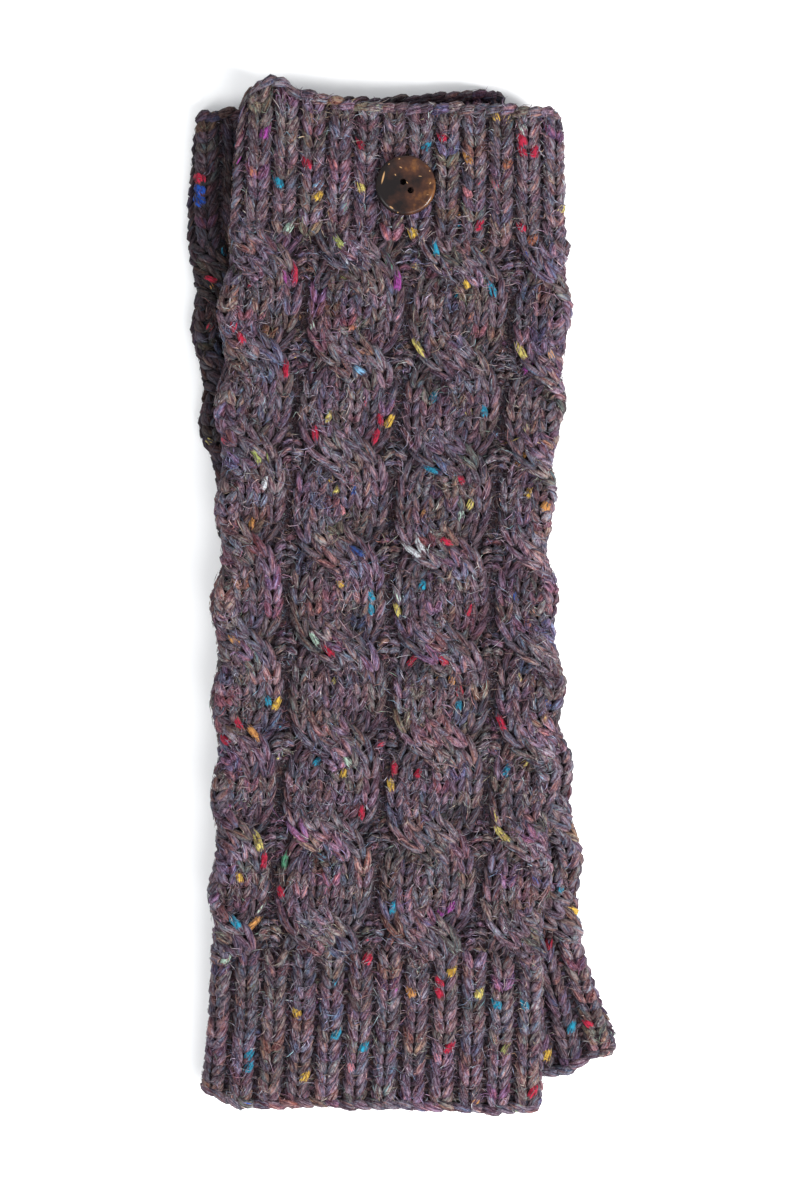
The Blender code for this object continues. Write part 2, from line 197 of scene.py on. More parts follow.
# Wool tones, linear: each stitch takes one, and its fibres vary round it
WOOL_TONES = (
    (0.095, 0.064, 0.078),
    (0.079, 0.056, 0.065),
    (0.093, 0.074, 0.084),
    (0.087, 0.057, 0.077),
    (0.090, 0.068, 0.065),
    (0.068, 0.056, 0.068),
)
# Colour casts that some stitches take more of than others
WOOL_CASTS = (
    (1.50, 0.72, 0.78),
    (0.70, 0.95, 1.40),
    (1.40, 1.00, 0.60),
    (0.95, 1.12, 0.72),
    (1.25, 0.78, 1.25),
    (0.86, 1.02, 1.10),
)
FLECK_COLOURS = {
    "turquoise": (0.008, 0.080, 0.130),
    "crimson": (0.160, 0.006, 0.017),
    "mustard": (0.220, 0.118, 0.020),
    "yellow": (0.230, 0.165, 0.050),
    "orange": (0.190, 0.075, 0.025),
    "olive": (0.115, 0.110, 0.035),
    "green": (0.030, 0.080, 0.050),
    "mint": (0.150, 0.175, 0.150),
    "sky": (0.080, 0.135, 0.215),
    "navy": (0.010, 0.018, 0.065),
    "royal": (0.005, 0.022, 0.125),
    "magenta": (0.115, 0.018, 0.095),
    "pink": (0.215, 0.070, 0.085),
    "pale": (0.190, 0.172, 0.190),
    "rust": (0.130, 0.040, 0.025),
}
# Where the clearest flecks lie, in pixels of the photograph
UPPER_FLECKS = {
    "turquoise": (
        (276, 189), (431, 153), (426, 249), (265, 247), (495, 299), (457, 300), (403, 350),
        (430, 398), (487, 416), (433, 467), (422, 585), (373, 611), (372, 603), (270, 700),
        (320, 762), (455, 711), (502, 779), (503, 771), (377, 839), (235, 922), (390, 917),
        (244, 1064), (247, 1073), (362, 1052), (497, 1012), (516, 1010), (339, 1040),
    ),
    "crimson": (
        (312, 165), (366, 150), (436, 137), (516, 144), (516, 151), (540, 154), (482, 231),
        (517, 231), (247, 290), (237, 337), (299, 275), (294, 372), (526, 363), (376, 434),
        (376, 426), (316, 441), (459, 484), (450, 546), (468, 617), (327, 655), (407, 658),
        (440, 664), (237, 724), (231, 745), (395, 774), (418, 781), (497, 734), (361, 825),
        (272, 875), (281, 891), (370, 950), (433, 990), (434, 984), (445, 1051), (530, 1094),
    ),
    "mustard": (
        (386, 431), (322, 195), (407, 245), (468, 291), (342, 585), (527, 490), (344, 781),
        (392, 786), (237, 887), (450, 969), (306, 1077), (302, 1012), (276, 707),
    ),
    "yellow": (
        (361, 194), (511, 355), (329, 417), (334, 496), (471, 505), (398, 607), (331, 686),
        (267, 840), (495, 842), (474, 992), (420, 360),
    ),
    "orange": (
        (289, 530), (249, 526), (550, 505), (415, 990), (472, 165), (261, 927), (512, 460),
        (261, 737),
    ),
    "olive": ((337, 245), (342, 280), (266, 465)),
    "green": ((284, 856),),
    "mint": ((287, 235), (316, 642), (351, 760), (230, 967)),
    "sky": ((360, 368),),
    "navy": ((350, 490), (362, 560)),
    "magenta": ((409, 291), (525, 376), (442, 917), (450, 912), (265, 140)),
    "pink": ((341, 512), (472, 194)),
    "pale": ((420, 554), (414, 548), (262, 488)),
    "rust": ((504, 162), (359, 330), (530, 250)),
}
UNDER_FLECKS = {
    "royal": ((194, 189), (192, 196)),
    "crimson": ((198, 180), (214, 280), (583, 1031), (578, 1031), (552, 949)),
    "turquoise": ((571, 1031),),
    "mustard": ((555, 1056), (580, 917)),
}
STRAWS = (
    # x and y in pixels, length in millimetres, turn in degrees, colour
    (510, 436, 10.5, 22.0, "yellow"),
    (257, 444, 9.0, -20.0, "yellow"),
    (268, 462, 6.0, -75.0, "olive"),
    (390, 846, 6.0, 25.0, "mint"),
)


def ease(value):
    """Smooth step from 0 to 1."""
    t = np.clip(value, 0.0, 1.0)
    return t * t * (3.0 - 2.0 * t)


def blend(a, b, t):
    return a + (b - a) * t


def read_table(rows, key, where, name):
    """Values of one column of a table, at places along another."""
    return np.interp(where, [getattr(row, key) for row in rows],
                     [getattr(row, name) for row in rows])


def slice_value(warmer, down, name):
    """Centre, half width or tilt of a slice, averaged over a short stretch."""
    steps = (-1.0, -0.5, 0.0, 0.5, 1.0)
    values = [read_table(warmer.sections, "down", down + step * SECTION_REACH, name)
              for step in steps]
    return sum(values) / len(steps)


def flat_half(warmer, down):
    """Half width of a slice's flat top, between its side folds."""
    return slice_value(warmer, down, "half_width") - SIDE_RELIEF - FOLD_RADIUS


def edge_shift(warmer, down, across):
    """How far a point near an open end moves along the tube, to follow the edge."""
    across = np.clip(across, -1.0, 1.0)
    top = read_table(warmer.top_edge, "across", across, "out")
    bottom = read_table(warmer.bottom_edge, "across", across, "out")
    return (bottom * (1.0 - ease((warmer.length - down) / EDGE_REACH))
            - top * (1.0 - ease(down / EDGE_REACH)))


def sag(x, y):
    """How far the upper warmer hangs down beside the lower one."""
    down = UNDER.top_y - y
    inside = np.clip(down, 0.0, UNDER.length)
    off_middle = np.abs(x - slice_value(UNDER, inside, "centre"))
    beside = np.maximum(off_middle - slice_value(UNDER, inside, "half_width"), 0.0)
    below = np.maximum(down - UNDER.length, 0.0)
    return SAG_DEPTH * ease(np.hypot(beside, below) / SAG_RUN)


def place(warmer, down, arc, lift, pressed=True):
    """World positions, in millimetres, of points lifted off a warmer's ground."""
    half = slice_value(warmer, down, "half_width")
    flat = half - SIDE_RELIEF - FOLD_RADIUS
    whole = 4.0 * flat + 2.0 * math.pi * FOLD_RADIUS
    arc = np.where(arc > whole / 2, arc - whole, arc)
    side = np.where(arc < 0.0, -1.0, 1.0)
    past = np.abs(arc) - flat
    turn = np.clip(past / FOLD_RADIUS, 0.0, math.pi)
    beneath = np.maximum(past - math.pi * FOLD_RADIUS, 0.0)
    out, up = side * np.sin(turn), np.cos(turn)
    if pressed:
        shown = ease((up - RELIEF_ENDS) / RELIEF_FADE)
        pressed_lift = np.minimum((lift - PRESSED_FROM) * PRESSED, UNDERSIDE)
        lift = blend(pressed_lift, lift, shown)
    across = side * (np.minimum(np.abs(arc), flat) - beneath) + out * (FOLD_RADIUS + lift)
    height = FOLD_RADIUS + up * (FOLD_RADIUS + lift)
    along = down + edge_shift(warmer, down, across / half)
    tilt = np.radians(slice_value(warmer, down, "tilt"))
    x = slice_value(warmer, down, "centre") + across * np.cos(tilt)
    y = warmer.top_y - along + across * np.sin(tilt)
    z = warmer.base + height
    if warmer.name == UPPER.name:
        z = z - sag(x, y)
    return np.stack((x, y - FOOTPRINT_Y, z), axis=-1)


def whole_arc(warmer, down):
    return 4.0 * flat_half(warmer, down) + 2.0 * math.pi * FOLD_RADIUS


def leg_arc(warmer, down, column):
    """Arc of a stitch column of the leg. Columns count from a valley behind the left fold."""
    middle = blend(warmer.valley_start, warmer.valley_end, down / warmer.length)
    on_top = CABLES_ON_TOP * CABLE_STITCHES
    top = middle + (column - on_top / 2) * STITCH
    left = middle - on_top / 2 * STITCH
    right = middle + on_top / 2 * STITCH
    rest = whole_arc(warmer, down) - (right - left)
    part = (column - on_top) / (CABLES_ROUND * CABLE_STITCHES - on_top)
    return np.where(column <= on_top, top, right + part * rest)


def rib_width(warmer, cuff, down):
    """Width of a rib at a slice: the ribs spread half as much as the cuff widens."""
    narrow = min(section.half_width for section in warmer.sections)
    return cuff.rib_pitch * blend(1.0, slice_value(warmer, down, "half_width") / narrow, 0.5)


def cuff_arc(warmer, cuff, down, rib):
    """Arc of a rib's edge, counted from the one nearest the middle of the top."""
    width = rib_width(warmer, cuff, down)
    right = cuff.rib_phase + RIBS_ON_TOP * width
    left = cuff.rib_phase - RIBS_ON_TOP * width
    rest = whole_arc(warmer, down) - (right - left)
    part = (rib - RIBS_ON_TOP) / RIBS_UNDER
    return np.where(rib <= RIBS_ON_TOP, cuff.rib_phase + rib * width, right + part * rest)


def strand_path(place_along, front_at_even):
    """A strand's middle, its level and how far it has turned, at places counted in crossings."""
    near = np.abs(place_along - np.round(place_along))
    turn = np.tanh(near * CROSSING_TURN)
    first = 1.0 if front_at_even else -1.0
    sign = np.sign(np.sin(math.pi * place_along)) * first
    wave = np.cos(math.pi * place_along) * first
    level = SIDE_LEVEL + (1.0 - SIDE_LEVEL) * wave
    return sign * turn * STRAND_OFFSET, level, turn


def strand_height(away):
    """Height of a strand's round back, `away` stitches from its middle."""
    return np.sqrt(np.maximum(1.0 - np.abs(away / STRAND_HALF_WIDTH) ** 3, 0.0))


def fold_share(warmer, down, arc):
    """How much of its height a cable has: on a fold its bellies bulge and its crossings don't."""
    on_fold = ease((np.abs(arc) - flat_half(warmer, down) + BULGE_BEFORE) / BULGE_RUN)
    waist = 0.5 + 0.5 * np.cos(2.0 * math.pi * (down - FIRST_CROSSING) / CROSSING_STEP)
    return 1.0 + on_fold * (FOLD_BULGE - FOLD_WAIST * waist)


def crossings_along(down):
    """Places down the leg, counted in crossings from the first one."""
    return (down - FIRST_CROSSING) / CROSSING_STEP


def cable_relief(column, down):
    """Height of the cables over the purl valleys."""
    x = (column % CABLE_STITCHES) - CABLE_STITCHES / 2
    heights = []
    for front_at_even in (True, False):
        middle, level, _ = strand_path(crossings_along(down), front_at_even)
        heights.append(CABLE_RELIEF * level * strand_height(x - middle))
    return np.maximum(heights[0], heights[1])


# A batch of yarn lengths: arrays of one row for each length and one column for each point
# of its path. The first and last points are its tips.
Batch = namedtuple("Batch", "warmer arc down lift wide thick tint dye")


CAST_STRENGTH = 0.75
TONE_RANGE = (0.57, 1.03)
GIRTH_RANGE = (0.9, 1.12)
PARTNER_RANGE = (0.88, 1.12)   # of a leg of a stitch's tone, beside its partner's


def jitter(random, spread, count):
    """One random offset for each of a number of lengths."""
    return random.normal(0.0, spread, (count, 1))


def tones(random, count):
    """Wool tones for a number of stitches, each a little lighter, darker or more coloured."""
    chosen = np.array(WOOL_TONES)[random.integers(0, len(WOOL_TONES), count)]
    cast = np.array(WOOL_CASTS)[random.integers(0, len(WOOL_CASTS), count)]
    strength = CAST_STRENGTH * random.random((count, 1)) ** 3
    light = random.uniform(*TONE_RANGE, (count, 1))
    return chosen * (1.0 + (cast - 1.0) * strength) * light


def dyed(warmer, arrays):
    """A batch with no fleck in it yet: its dye is a colour and how much of it there is."""
    return Batch(warmer, *arrays, np.zeros((len(arrays[0]), 4)))


def joined(warmer, parts):
    return dyed(warmer, [np.concatenate(arrays) for arrays in zip(*parts)])


def taper(count, size, girth, random):
    """Radii of the rings of each length, with some play from one to the next."""
    return size * random.uniform(*GIRTH_RANGE, (count, 1)) * girth[None, :]


# Where the points of a stitch's leg lie along it, and how thick it is at those between its tips
LEG_POINTS = np.array((0.0, 0.10, 0.38, 0.68, 0.90, 1.0))
LEG_GIRTH = np.array((0.80, 1.0, 1.02, 0.70))
BACK_POINTS = np.array((0.0, 0.12, 0.50, 0.88, 1.0))
BACK_GIRTH = np.array((0.80, 1.0, 0.70))
LEG_ROW = 5.2              # counted along a strand
LEG_REACH = 1.62           # rows that a leg of a stitch runs over
LEG_SPREAD = (2.75, 0.35)  # how far its upper and lower ends lie from the column's middle
LEG_CURVE = 1.15
LEG_WIDE = 1.62
LEG_THICK = 1.35
LEG_SLIP = 0.28            # how far it strays along its column
LEG_STRAY = 0.16           # and sideways and in height
DIVE = 1.6                 # how far its ends go down under its neighbours
DIVE_UPPER = 0.6           # how much of it does so at its upper end
DIVE_LOWER = 0.22          # and at its lower end
COLUMN_WIDTH = 1.2         # of a cable's columns, in stitches
CROSSING_WIDTH = 1.06      # and where the strands cross
STRETCH_SHARE = 0.45       # how much of a crossing's longer course takes more rows
STITCH_RELIEF = 5.0        # height of the front strand's stitches at a crossing
# painted shade on the strand that goes behind the other at a crossing
BEHIND_SHADE = 0.5         # of the wool's tone, where a strand goes behind the other
BEHIND_LEVEL = 0.25        # the strand's level at which that is whole
BEHIND_RUN = 0.35
INNER_SHARE = 0.35         # how much a strand falls away towards its partner
COURSE_STEP = 0.25         # between the places at which a strand's course is worked out
COURSE_ENDS = 12.0         # how far it is known past the leg's ends
COURSE_SMOOTH = 9          # places that it is averaged over


def dive(t):
    """How far a leg of a stitch goes down at its ends, under its neighbours."""
    upper = np.maximum(DIVE_UPPER - t, 0.0) / DIVE_UPPER
    lower = np.maximum(t - (1.0 - DIVE_LOWER), 0.0) / DIVE_LOWER
    return DIVE * upper ** 2 + DIVE * lower ** 2


def strand_course(front_at_even):
    """A strand's course down the leg: its places down, counted in rows, offset and heading."""
    down = np.arange(TOP_CUFF_LENGTH - COURSE_ENDS, LEG_END + COURSE_ENDS, COURSE_STEP)
    offset = strand_path(crossings_along(down), front_at_even)[0] * STITCH
    padded = np.pad(offset, COURSE_SMOOTH // 2, mode="edge")
    smooth = np.convolve(padded, np.ones(COURSE_SMOOTH) / COURSE_SMOOTH, mode="valid")
    slope = np.gradient(smooth, down)
    speed = blend(1.0, np.hypot(1.0, slope), STRETCH_SHARE)
    counted = np.cumsum(speed) * COURSE_STEP
    return down, counted, smooth, np.arctan(slope)


def leg_stitches(warmer, columns_from, columns_to, points, girth, seed):
    """The knit stitches of the cables from one cable to another, as one batch."""
    random = np.random.default_rng(seed)
    t = points[None, :]
    parts = []
    for front_at_even in (True, False):
        course_down, counted, course_offset, course_heading = strand_course(front_at_even)
        first, last = np.interp((TOP_CUFF_LENGTH, LEG_END), course_down, counted)
        count = round((last - first) / LEG_ROW)
        step = (last - first) / count
        rows = first + (np.arange(count) + 0.5) * step
        for cable in range(columns_from, columns_to):
            for offset in (-1, 0, 1):
                shared = tones(random, count)
                for side in (-1, 1):
                    slip = jitter(random, LEG_SLIP, count)
                    along = rows[:, None] + slip + (t - 0.5) * step * LEG_REACH
                    middle_down = np.interp(along, counted, course_down)
                    middle = np.interp(along, counted, course_offset)
                    heading = np.interp(along, counted, course_heading)
                    _, level, turn = strand_path(crossings_along(middle_down), front_at_even)
                    width = blend(CROSSING_WIDTH, COLUMN_WIDTH, turn)
                    spread = side * blend(*LEG_SPREAD, t ** LEG_CURVE)
                    spread = spread + jitter(random, LEG_STRAY, count)
                    across = (offset * STITCH + spread) * width
                    column = (cable * CABLE_STITCHES + CABLE_STITCHES / 2
                              + (middle + across * np.cos(heading)) / STITCH)
                    down = middle_down - across * np.sin(heading)
                    arc = leg_arc(warmer, down, column)
                    inner = blend(1.0, INNER_SHARE, turn)
                    away = across / (STITCH * width) * COLUMN_WIDTH
                    away = away * np.where(across * middle < 0.0, inner, 1.0)
                    rise = STITCH_RELIEF * level * strand_height(away)
                    rise = rise * fold_share(warmer, down, arc)
                    lift = rise - LEG_THICK - dive(t) + jitter(random, LEG_STRAY, count)
                    # painted shade: the stitches of the strand behind are toned darker
                    middle_level = level[:, level.shape[1] // 2][:, None]
                    in_front = ease((middle_level - BEHIND_LEVEL) / BEHIND_RUN)
                    behind = blend(BEHIND_SHADE, 1.0, in_front)
                    tint = shared * behind * random.uniform(*PARTNER_RANGE, (count, 1))
                    parts.append((arc, down, lift, taper(count, LEG_WIDE, girth, random),
                                  taper(count, LEG_THICK, girth, random), tint))
    return joined(warmer, parts)


PURL_POINTS = np.array((0.0, 0.14, 0.5, 0.86, 1.0))
PURL_GIRTH = np.array((0.7, 1.0, 0.7))
PURL_START = CROSSING_STEP / 16    # from the cuff to the first row
PURL_ROW = 3.2
PURL_WIDE = 1.25
PURL_THICK = 1.0
PURL_SLIP = 0.3
PURL_SLANT = 1.1
PURL_BEND = 1.3            # its ends lie this much further down the leg than its middle
PURL_DROP = 1.0            # and this much lower
PURL_REACH = 1.25          # how much of its gap it runs over
PURL_STRAY = 0.2
PURL_LIFT = (-1.7, 2.7)    # in a valley, and beside a crossing
# painted shade on the purls in a valley, and painted light on those beside a crossing
PURL_SHADE = (0.5, 1.1)    # of the wool's tone, likewise
PURL_THICKER = 1.35        # beside a crossing
BELLY_GAP = 2.6            # from the middle of a valley to the cable's edge
NOTCH_GAP = 4.4            # and beside a crossing
NOTCH_SLANT = {-1: -3.0, 1: 1.4}   # how far down a purl runs there, left and right


def leg_purls(warmer, columns_from, columns_to, seed):
    """The purl stitches in the valleys, each one length of yarn across its column."""
    random = np.random.default_rng(seed)
    rows = np.arange(TOP_CUFF_LENGTH + PURL_START, LEG_END, PURL_ROW)
    count = len(rows)
    t = PURL_POINTS[None, :]
    notch = 1.0 - strand_path(crossings_along(rows[:, None]), True)[2]
    reach = blend(BELLY_GAP, NOTCH_GAP, notch)
    thicker = blend(1.0, PURL_THICKER, notch)
    parts = []
    for cable in range(columns_from, columns_to):
        for side in (-1, 1):
            slip = jitter(random, PURL_SLIP, count)
            slant = (jitter(random, PURL_SLANT, count) + notch * NOTCH_SLANT[side]) * (t - 0.5)
            down = rows[:, None] + slip + slant + PURL_BEND * (2 * t - 1) ** 2
            column = (cable * CABLE_STITCHES) % (CABLES_ROUND * CABLE_STITCHES)
            arc = leg_arc(warmer, down, column) + side * reach / 2 + (t - 0.5) * reach * PURL_REACH
            lift = blend(*PURL_LIFT, notch) - PURL_DROP * (2 * t - 1) ** 2
            lift = lift + jitter(random, PURL_STRAY, count)
            # their tone carries that painted shade in a valley and painted light beside a crossing
            parts.append((arc, down, lift,
                          taper(count, PURL_WIDE, PURL_GIRTH, random) * thicker,
                          taper(count, PURL_THICK, PURL_GIRTH, random) * thicker,
                          tones(random, count) * blend(*PURL_SHADE, notch)))
    return joined(warmer, parts)


RIB_WIDE = 1.95
RIB_REACH = 1.9            # rows that a leg of a rib's stitch runs over
RIB_SPREAD = (4.15, 0.6)   # how far its upper and lower ends lie from the rib's middle
RIB_CURVE = 1.1
RIB_SLIP = 0.25
RIB_STRAY = (0.2, 0.18)    # how far it strays sideways and in height
RIB_ROUND = 0.06           # how a rib falls away from its middle
RIM_HEIGHT = 0.55          # of a rib's height, at the rim
RIM_RUN = 6.0
RIB_PURL_WIDTH = 4.2
RIB_PURL_WIDE = 1.2
RIB_PURL_LIFT = -0.9
RIB_PURL_BEND = 1.0
RIB_PURL_DROP = 0.7
RIB_PURL_STRAY = 0.25
# painted shade on the purls between the ribs
RIB_PURL_SHADE = 0.62


def cuff_rows(start, end):
    """The middles of a cuff's rows, short of its rim, and their step."""
    if start == 0.0:
        start = RIM
    else:
        end = end - RIM
    count = round((end - start) / RIB_ROW)
    step = (end - start) / count
    return start + (np.arange(count) + 0.5) * step, step


def cuff_stitches(warmer, cuff, start, end, ribs_from, ribs_to, points, girth, seed):
    """The knit stitches of a cuff's ribs from one to another."""
    random = np.random.default_rng(seed)
    rows, step = cuff_rows(start, end)
    count = len(rows)
    t = points[None, :]
    parts = []
    for rib in range(ribs_from, ribs_to):
        shared = tones(random, count)
        for side in (-1, 1):
            slip = jitter(random, RIB_SLIP, count)
            down = rows[:, None] + slip + (t - 0.5) * step * RIB_REACH
            spread = side * blend(*RIB_SPREAD, t ** RIB_CURVE)
            spread = spread + jitter(random, RIB_STRAY[0], count)
            arc = cuff_arc(warmer, cuff, down, rib + 0.5) + spread
            edge = down if start == 0.0 else end - down
            tall = blend(RIM_HEIGHT, 1.0, ease(edge / RIM_RUN))
            lift = RIB_RELIEF * tall - LEG_THICK - RIB_ROUND * spread ** 2 - dive(t)
            lift = lift + jitter(random, RIB_STRAY[1], count)
            parts.append((arc, down, lift, taper(count, RIB_WIDE, girth, random),
                          taper(count, LEG_THICK, girth, random),
                          shared * random.uniform(*PARTNER_RANGE, (count, 1))))
    return joined(warmer, parts)


def cuff_purls(warmer, cuff, start, end, ribs_from, ribs_to, seed):
    """The purl stitches between a cuff's ribs."""
    random = np.random.default_rng(seed)
    rows, _ = cuff_rows(start, end)
    count = len(rows)
    t = PURL_POINTS[None, :]
    parts = []
    for rib in range(ribs_from, ribs_to):
        bend = (2 * t - 1) ** 2
        down = rows[:, None] + jitter(random, RIB_SLIP, count) + RIB_PURL_BEND * bend
        arc = cuff_arc(warmer, cuff, down, rib) + (t - 0.5) * RIB_PURL_WIDTH
        lift = RIB_PURL_LIFT - RIB_PURL_DROP * bend + jitter(random, RIB_PURL_STRAY, count)
        # the purls between the ribs are toned darker: painted shade
        parts.append((arc, down, lift, taper(count, RIB_PURL_WIDE, PURL_GIRTH, random),
                      taper(count, PURL_THICK, PURL_GIRTH, random),
                      tones(random, count) * RIB_PURL_SHADE))
    return joined(warmer, parts)


CHAIN_EDGE = 0.2           # from the open end to the chain's outermost places
CHAIN_SLANT = (2.9, 0.4)   # how far in from there a link starts and ends
CHAIN_LENGTH = 0.85        # of a link, in ribs
CHAIN_LIFT = -0.2          # of its ends
CHAIN_RISE = 1.8           # of its middle over them
CHAIN_STRAY = (0.45, 0.35)   # along the tube and in height
CHAIN_FOLD = 1.3           # how much lower it lies on the folds
CHAIN_WIDE = 2.15
CHAIN_THICK = 1.9


def edge_chain(warmer, cuff, at_top, ribs_from, ribs_to, seed):
    """The chain of yarn along an open end, two links to a rib, round the wall's rim."""
    random = np.random.default_rng(seed)
    t = LEG_POINTS[None, :]
    links = np.arange(ribs_from, ribs_to, 0.5)[:, None] + 0.25
    count = len(links)
    edge = CHAIN_EDGE if at_top else warmer.length - CHAIN_EDGE
    inward = 1.0 if at_top else -1.0
    down = edge + inward * blend(*CHAIN_SLANT, t) + jitter(random, CHAIN_STRAY[0], count)
    arc = cuff_arc(warmer, cuff, down, links + (t - 0.5) * CHAIN_LENGTH)
    rise = CHAIN_RISE * np.sin(math.pi * t)
    lift = CHAIN_LIFT + rise + jitter(random, CHAIN_STRAY[1], count)
    lift = lift - CHAIN_FOLD * ease((np.abs(arc) - flat_half(warmer, down)) / FOLD_RUN)
    return dyed(warmer, (arc, down, lift, taper(count, CHAIN_WIDE, LEG_GIRTH, random),
                         taper(count, CHAIN_THICK, LEG_GIRTH, random), tones(random, count)))


def to_pixels(points):
    """Where points, in millimetres, lie in the photograph's frame."""
    x = MIDDLE_X_PX + points[..., 0] / MM_PER_PIXEL
    y = MIDDLE_Y_PX - (points[..., 1] + FOOTPRINT_Y) / MM_PER_PIXEL
    return np.stack((x, y), axis=-1)


def batch_middles(batch):
    """World places, in millimetres, of the middles of a batch's lengths."""
    half = batch.arc.shape[1] // 2
    return place(batch.warmer, batch.down[:, half], batch.arc[:, half], batch.lift[:, half])


FLECK_DROP = 0.8           # millimetres of height that make up for a pixel of distance
FLECK_SHARE = 0.035        # of the stitches have a faint fleck
FAINT_RANGE = (0.3, 0.75)


def paint_flecks(batches, flecks):
    """Dyes the stitch nearest each fleck's place, preferring what lies on top."""
    middles = []
    for number, batch in enumerate(batches):
        points = batch_middles(batch)
        for index, (pixel, height) in enumerate(zip(to_pixels(points), points[:, 2])):
            middles.append((pixel[0], pixel[1], height, number, index))
    middles = np.array(middles)
    for colour, spots in flecks.items():
        for x, y in spots:
            away = np.hypot(middles[:, 0] - x, middles[:, 1] - y)
            away = away - middles[:, 2] / FLECK_DROP
            _, _, _, number, index = middles[np.argmin(away)]
            batches[int(number)].dye[int(index)] = (*FLECK_COLOURS[colour], 1.0)


def sprinkle_flecks(batch, seed):
    """Dyes a share of the stitches at random, faintly."""
    random = np.random.default_rng(seed)
    colours = np.array(list(FLECK_COLOURS.values()))
    chosen = random.random(len(batch.tint)) < FLECK_SHARE
    count = chosen.sum()
    batch.dye[chosen, :3] = colours[random.integers(0, len(colours), count)]
    batch.dye[chosen, 3] = random.uniform(*FAINT_RANGE, count)


def new_mesh(name, points, quads, triangles, material):
    """A smooth mesh object from arrays of points in millimetres and of corners."""
    mesh = bpy.data.meshes.new(name)
    corners = np.concatenate((quads.ravel(), triangles.ravel())).astype(np.int32)
    sizes = np.concatenate((np.full(len(quads), 4), np.full(len(triangles), 3)))
    starts = np.concatenate(((0,), np.cumsum(sizes)[:-1])).astype(np.int32)
    mesh.vertices.add(len(points))
    mesh.vertices.foreach_set("co", (points * MM).astype(np.float32).ravel())
    mesh.loops.add(len(corners))
    mesh.loops.foreach_set("vertex_index", corners)
    mesh.polygons.add(len(sizes))
    mesh.polygons.foreach_set("loop_start", starts)
    mesh.polygons.foreach_set("use_smooth", np.ones(len(sizes), dtype=bool))
    mesh.update(calc_edges=True)
    mesh.validate()
    mesh.materials.append(material)
    item = bpy.data.objects.new(name, mesh)
    bpy.context.scene.collection.objects.link(item)
    return item


def set_attributes(item, tint, dye, fibre):
    """The colour, fleck and fibre place of every point, which the wool's material reads."""
    colour, place_kind = ("FLOAT_COLOR", "color"), ("FLOAT_VECTOR", "vector")
    for name, values, (kind, key) in (("tint", tint, colour), ("dye", dye, colour),
                                      ("fibre", fibre, place_kind)):
        layer = item.data.attributes.new(name, kind, "POINT")
        layer.data.foreach_set(key, np.ascontiguousarray(values, dtype=np.float32).ravel())


def opaque(colours):
    """Colours with an alpha of 1."""
    return np.concatenate((colours, np.ones((len(colours), 1))), axis=1)


FIBRE_TURNS = 0.07         # twist of the fibres, in radians for a millimetre of yarn
FIBRE_LENGTH = 0.14        # how much slower they vary along the yarn than round it
FIBRE_SCATTER = 400.0      # how far apart the lengths lie in the fibres' noise
# Painted shade on every length of yarn: darker on its underside and where its ends go under its
# neighbours
DEEP_SHADE = 0.44          # of the wool's tone, on the side of the yarn that faces down
DEEP_LEVEL = -0.8          # how high up the yarn that is whole, from -1 to 1
DEEP_RUN = 1.2
END_SHADE = 0.70           # and where a length goes under its neighbours
TIP_SHADE = END_SHADE * 0.7
END_DYE = 0.28             # of a fleck's strength, near the ends


def tube_faces(rings, sides):
    """Corners of a length's quads and of the triangles at its tips, from its first point."""
    k = np.arange(sides)
    after = (k + 1) % sides
    last = 1 + (rings - 1) * sides
    body = [np.zeros((0, 4), int)]
    for start in range(1, last, sides):
        following = start + sides
        body.append(np.stack((start + k, start + after, following + after, following + k), 1))
    caps = (np.stack((np.zeros(sides, int), 1 + after, 1 + k), 1),
            np.stack((np.full(sides, last + sides), last + k, last + after), 1))
    return np.concatenate(body), np.concatenate(caps)


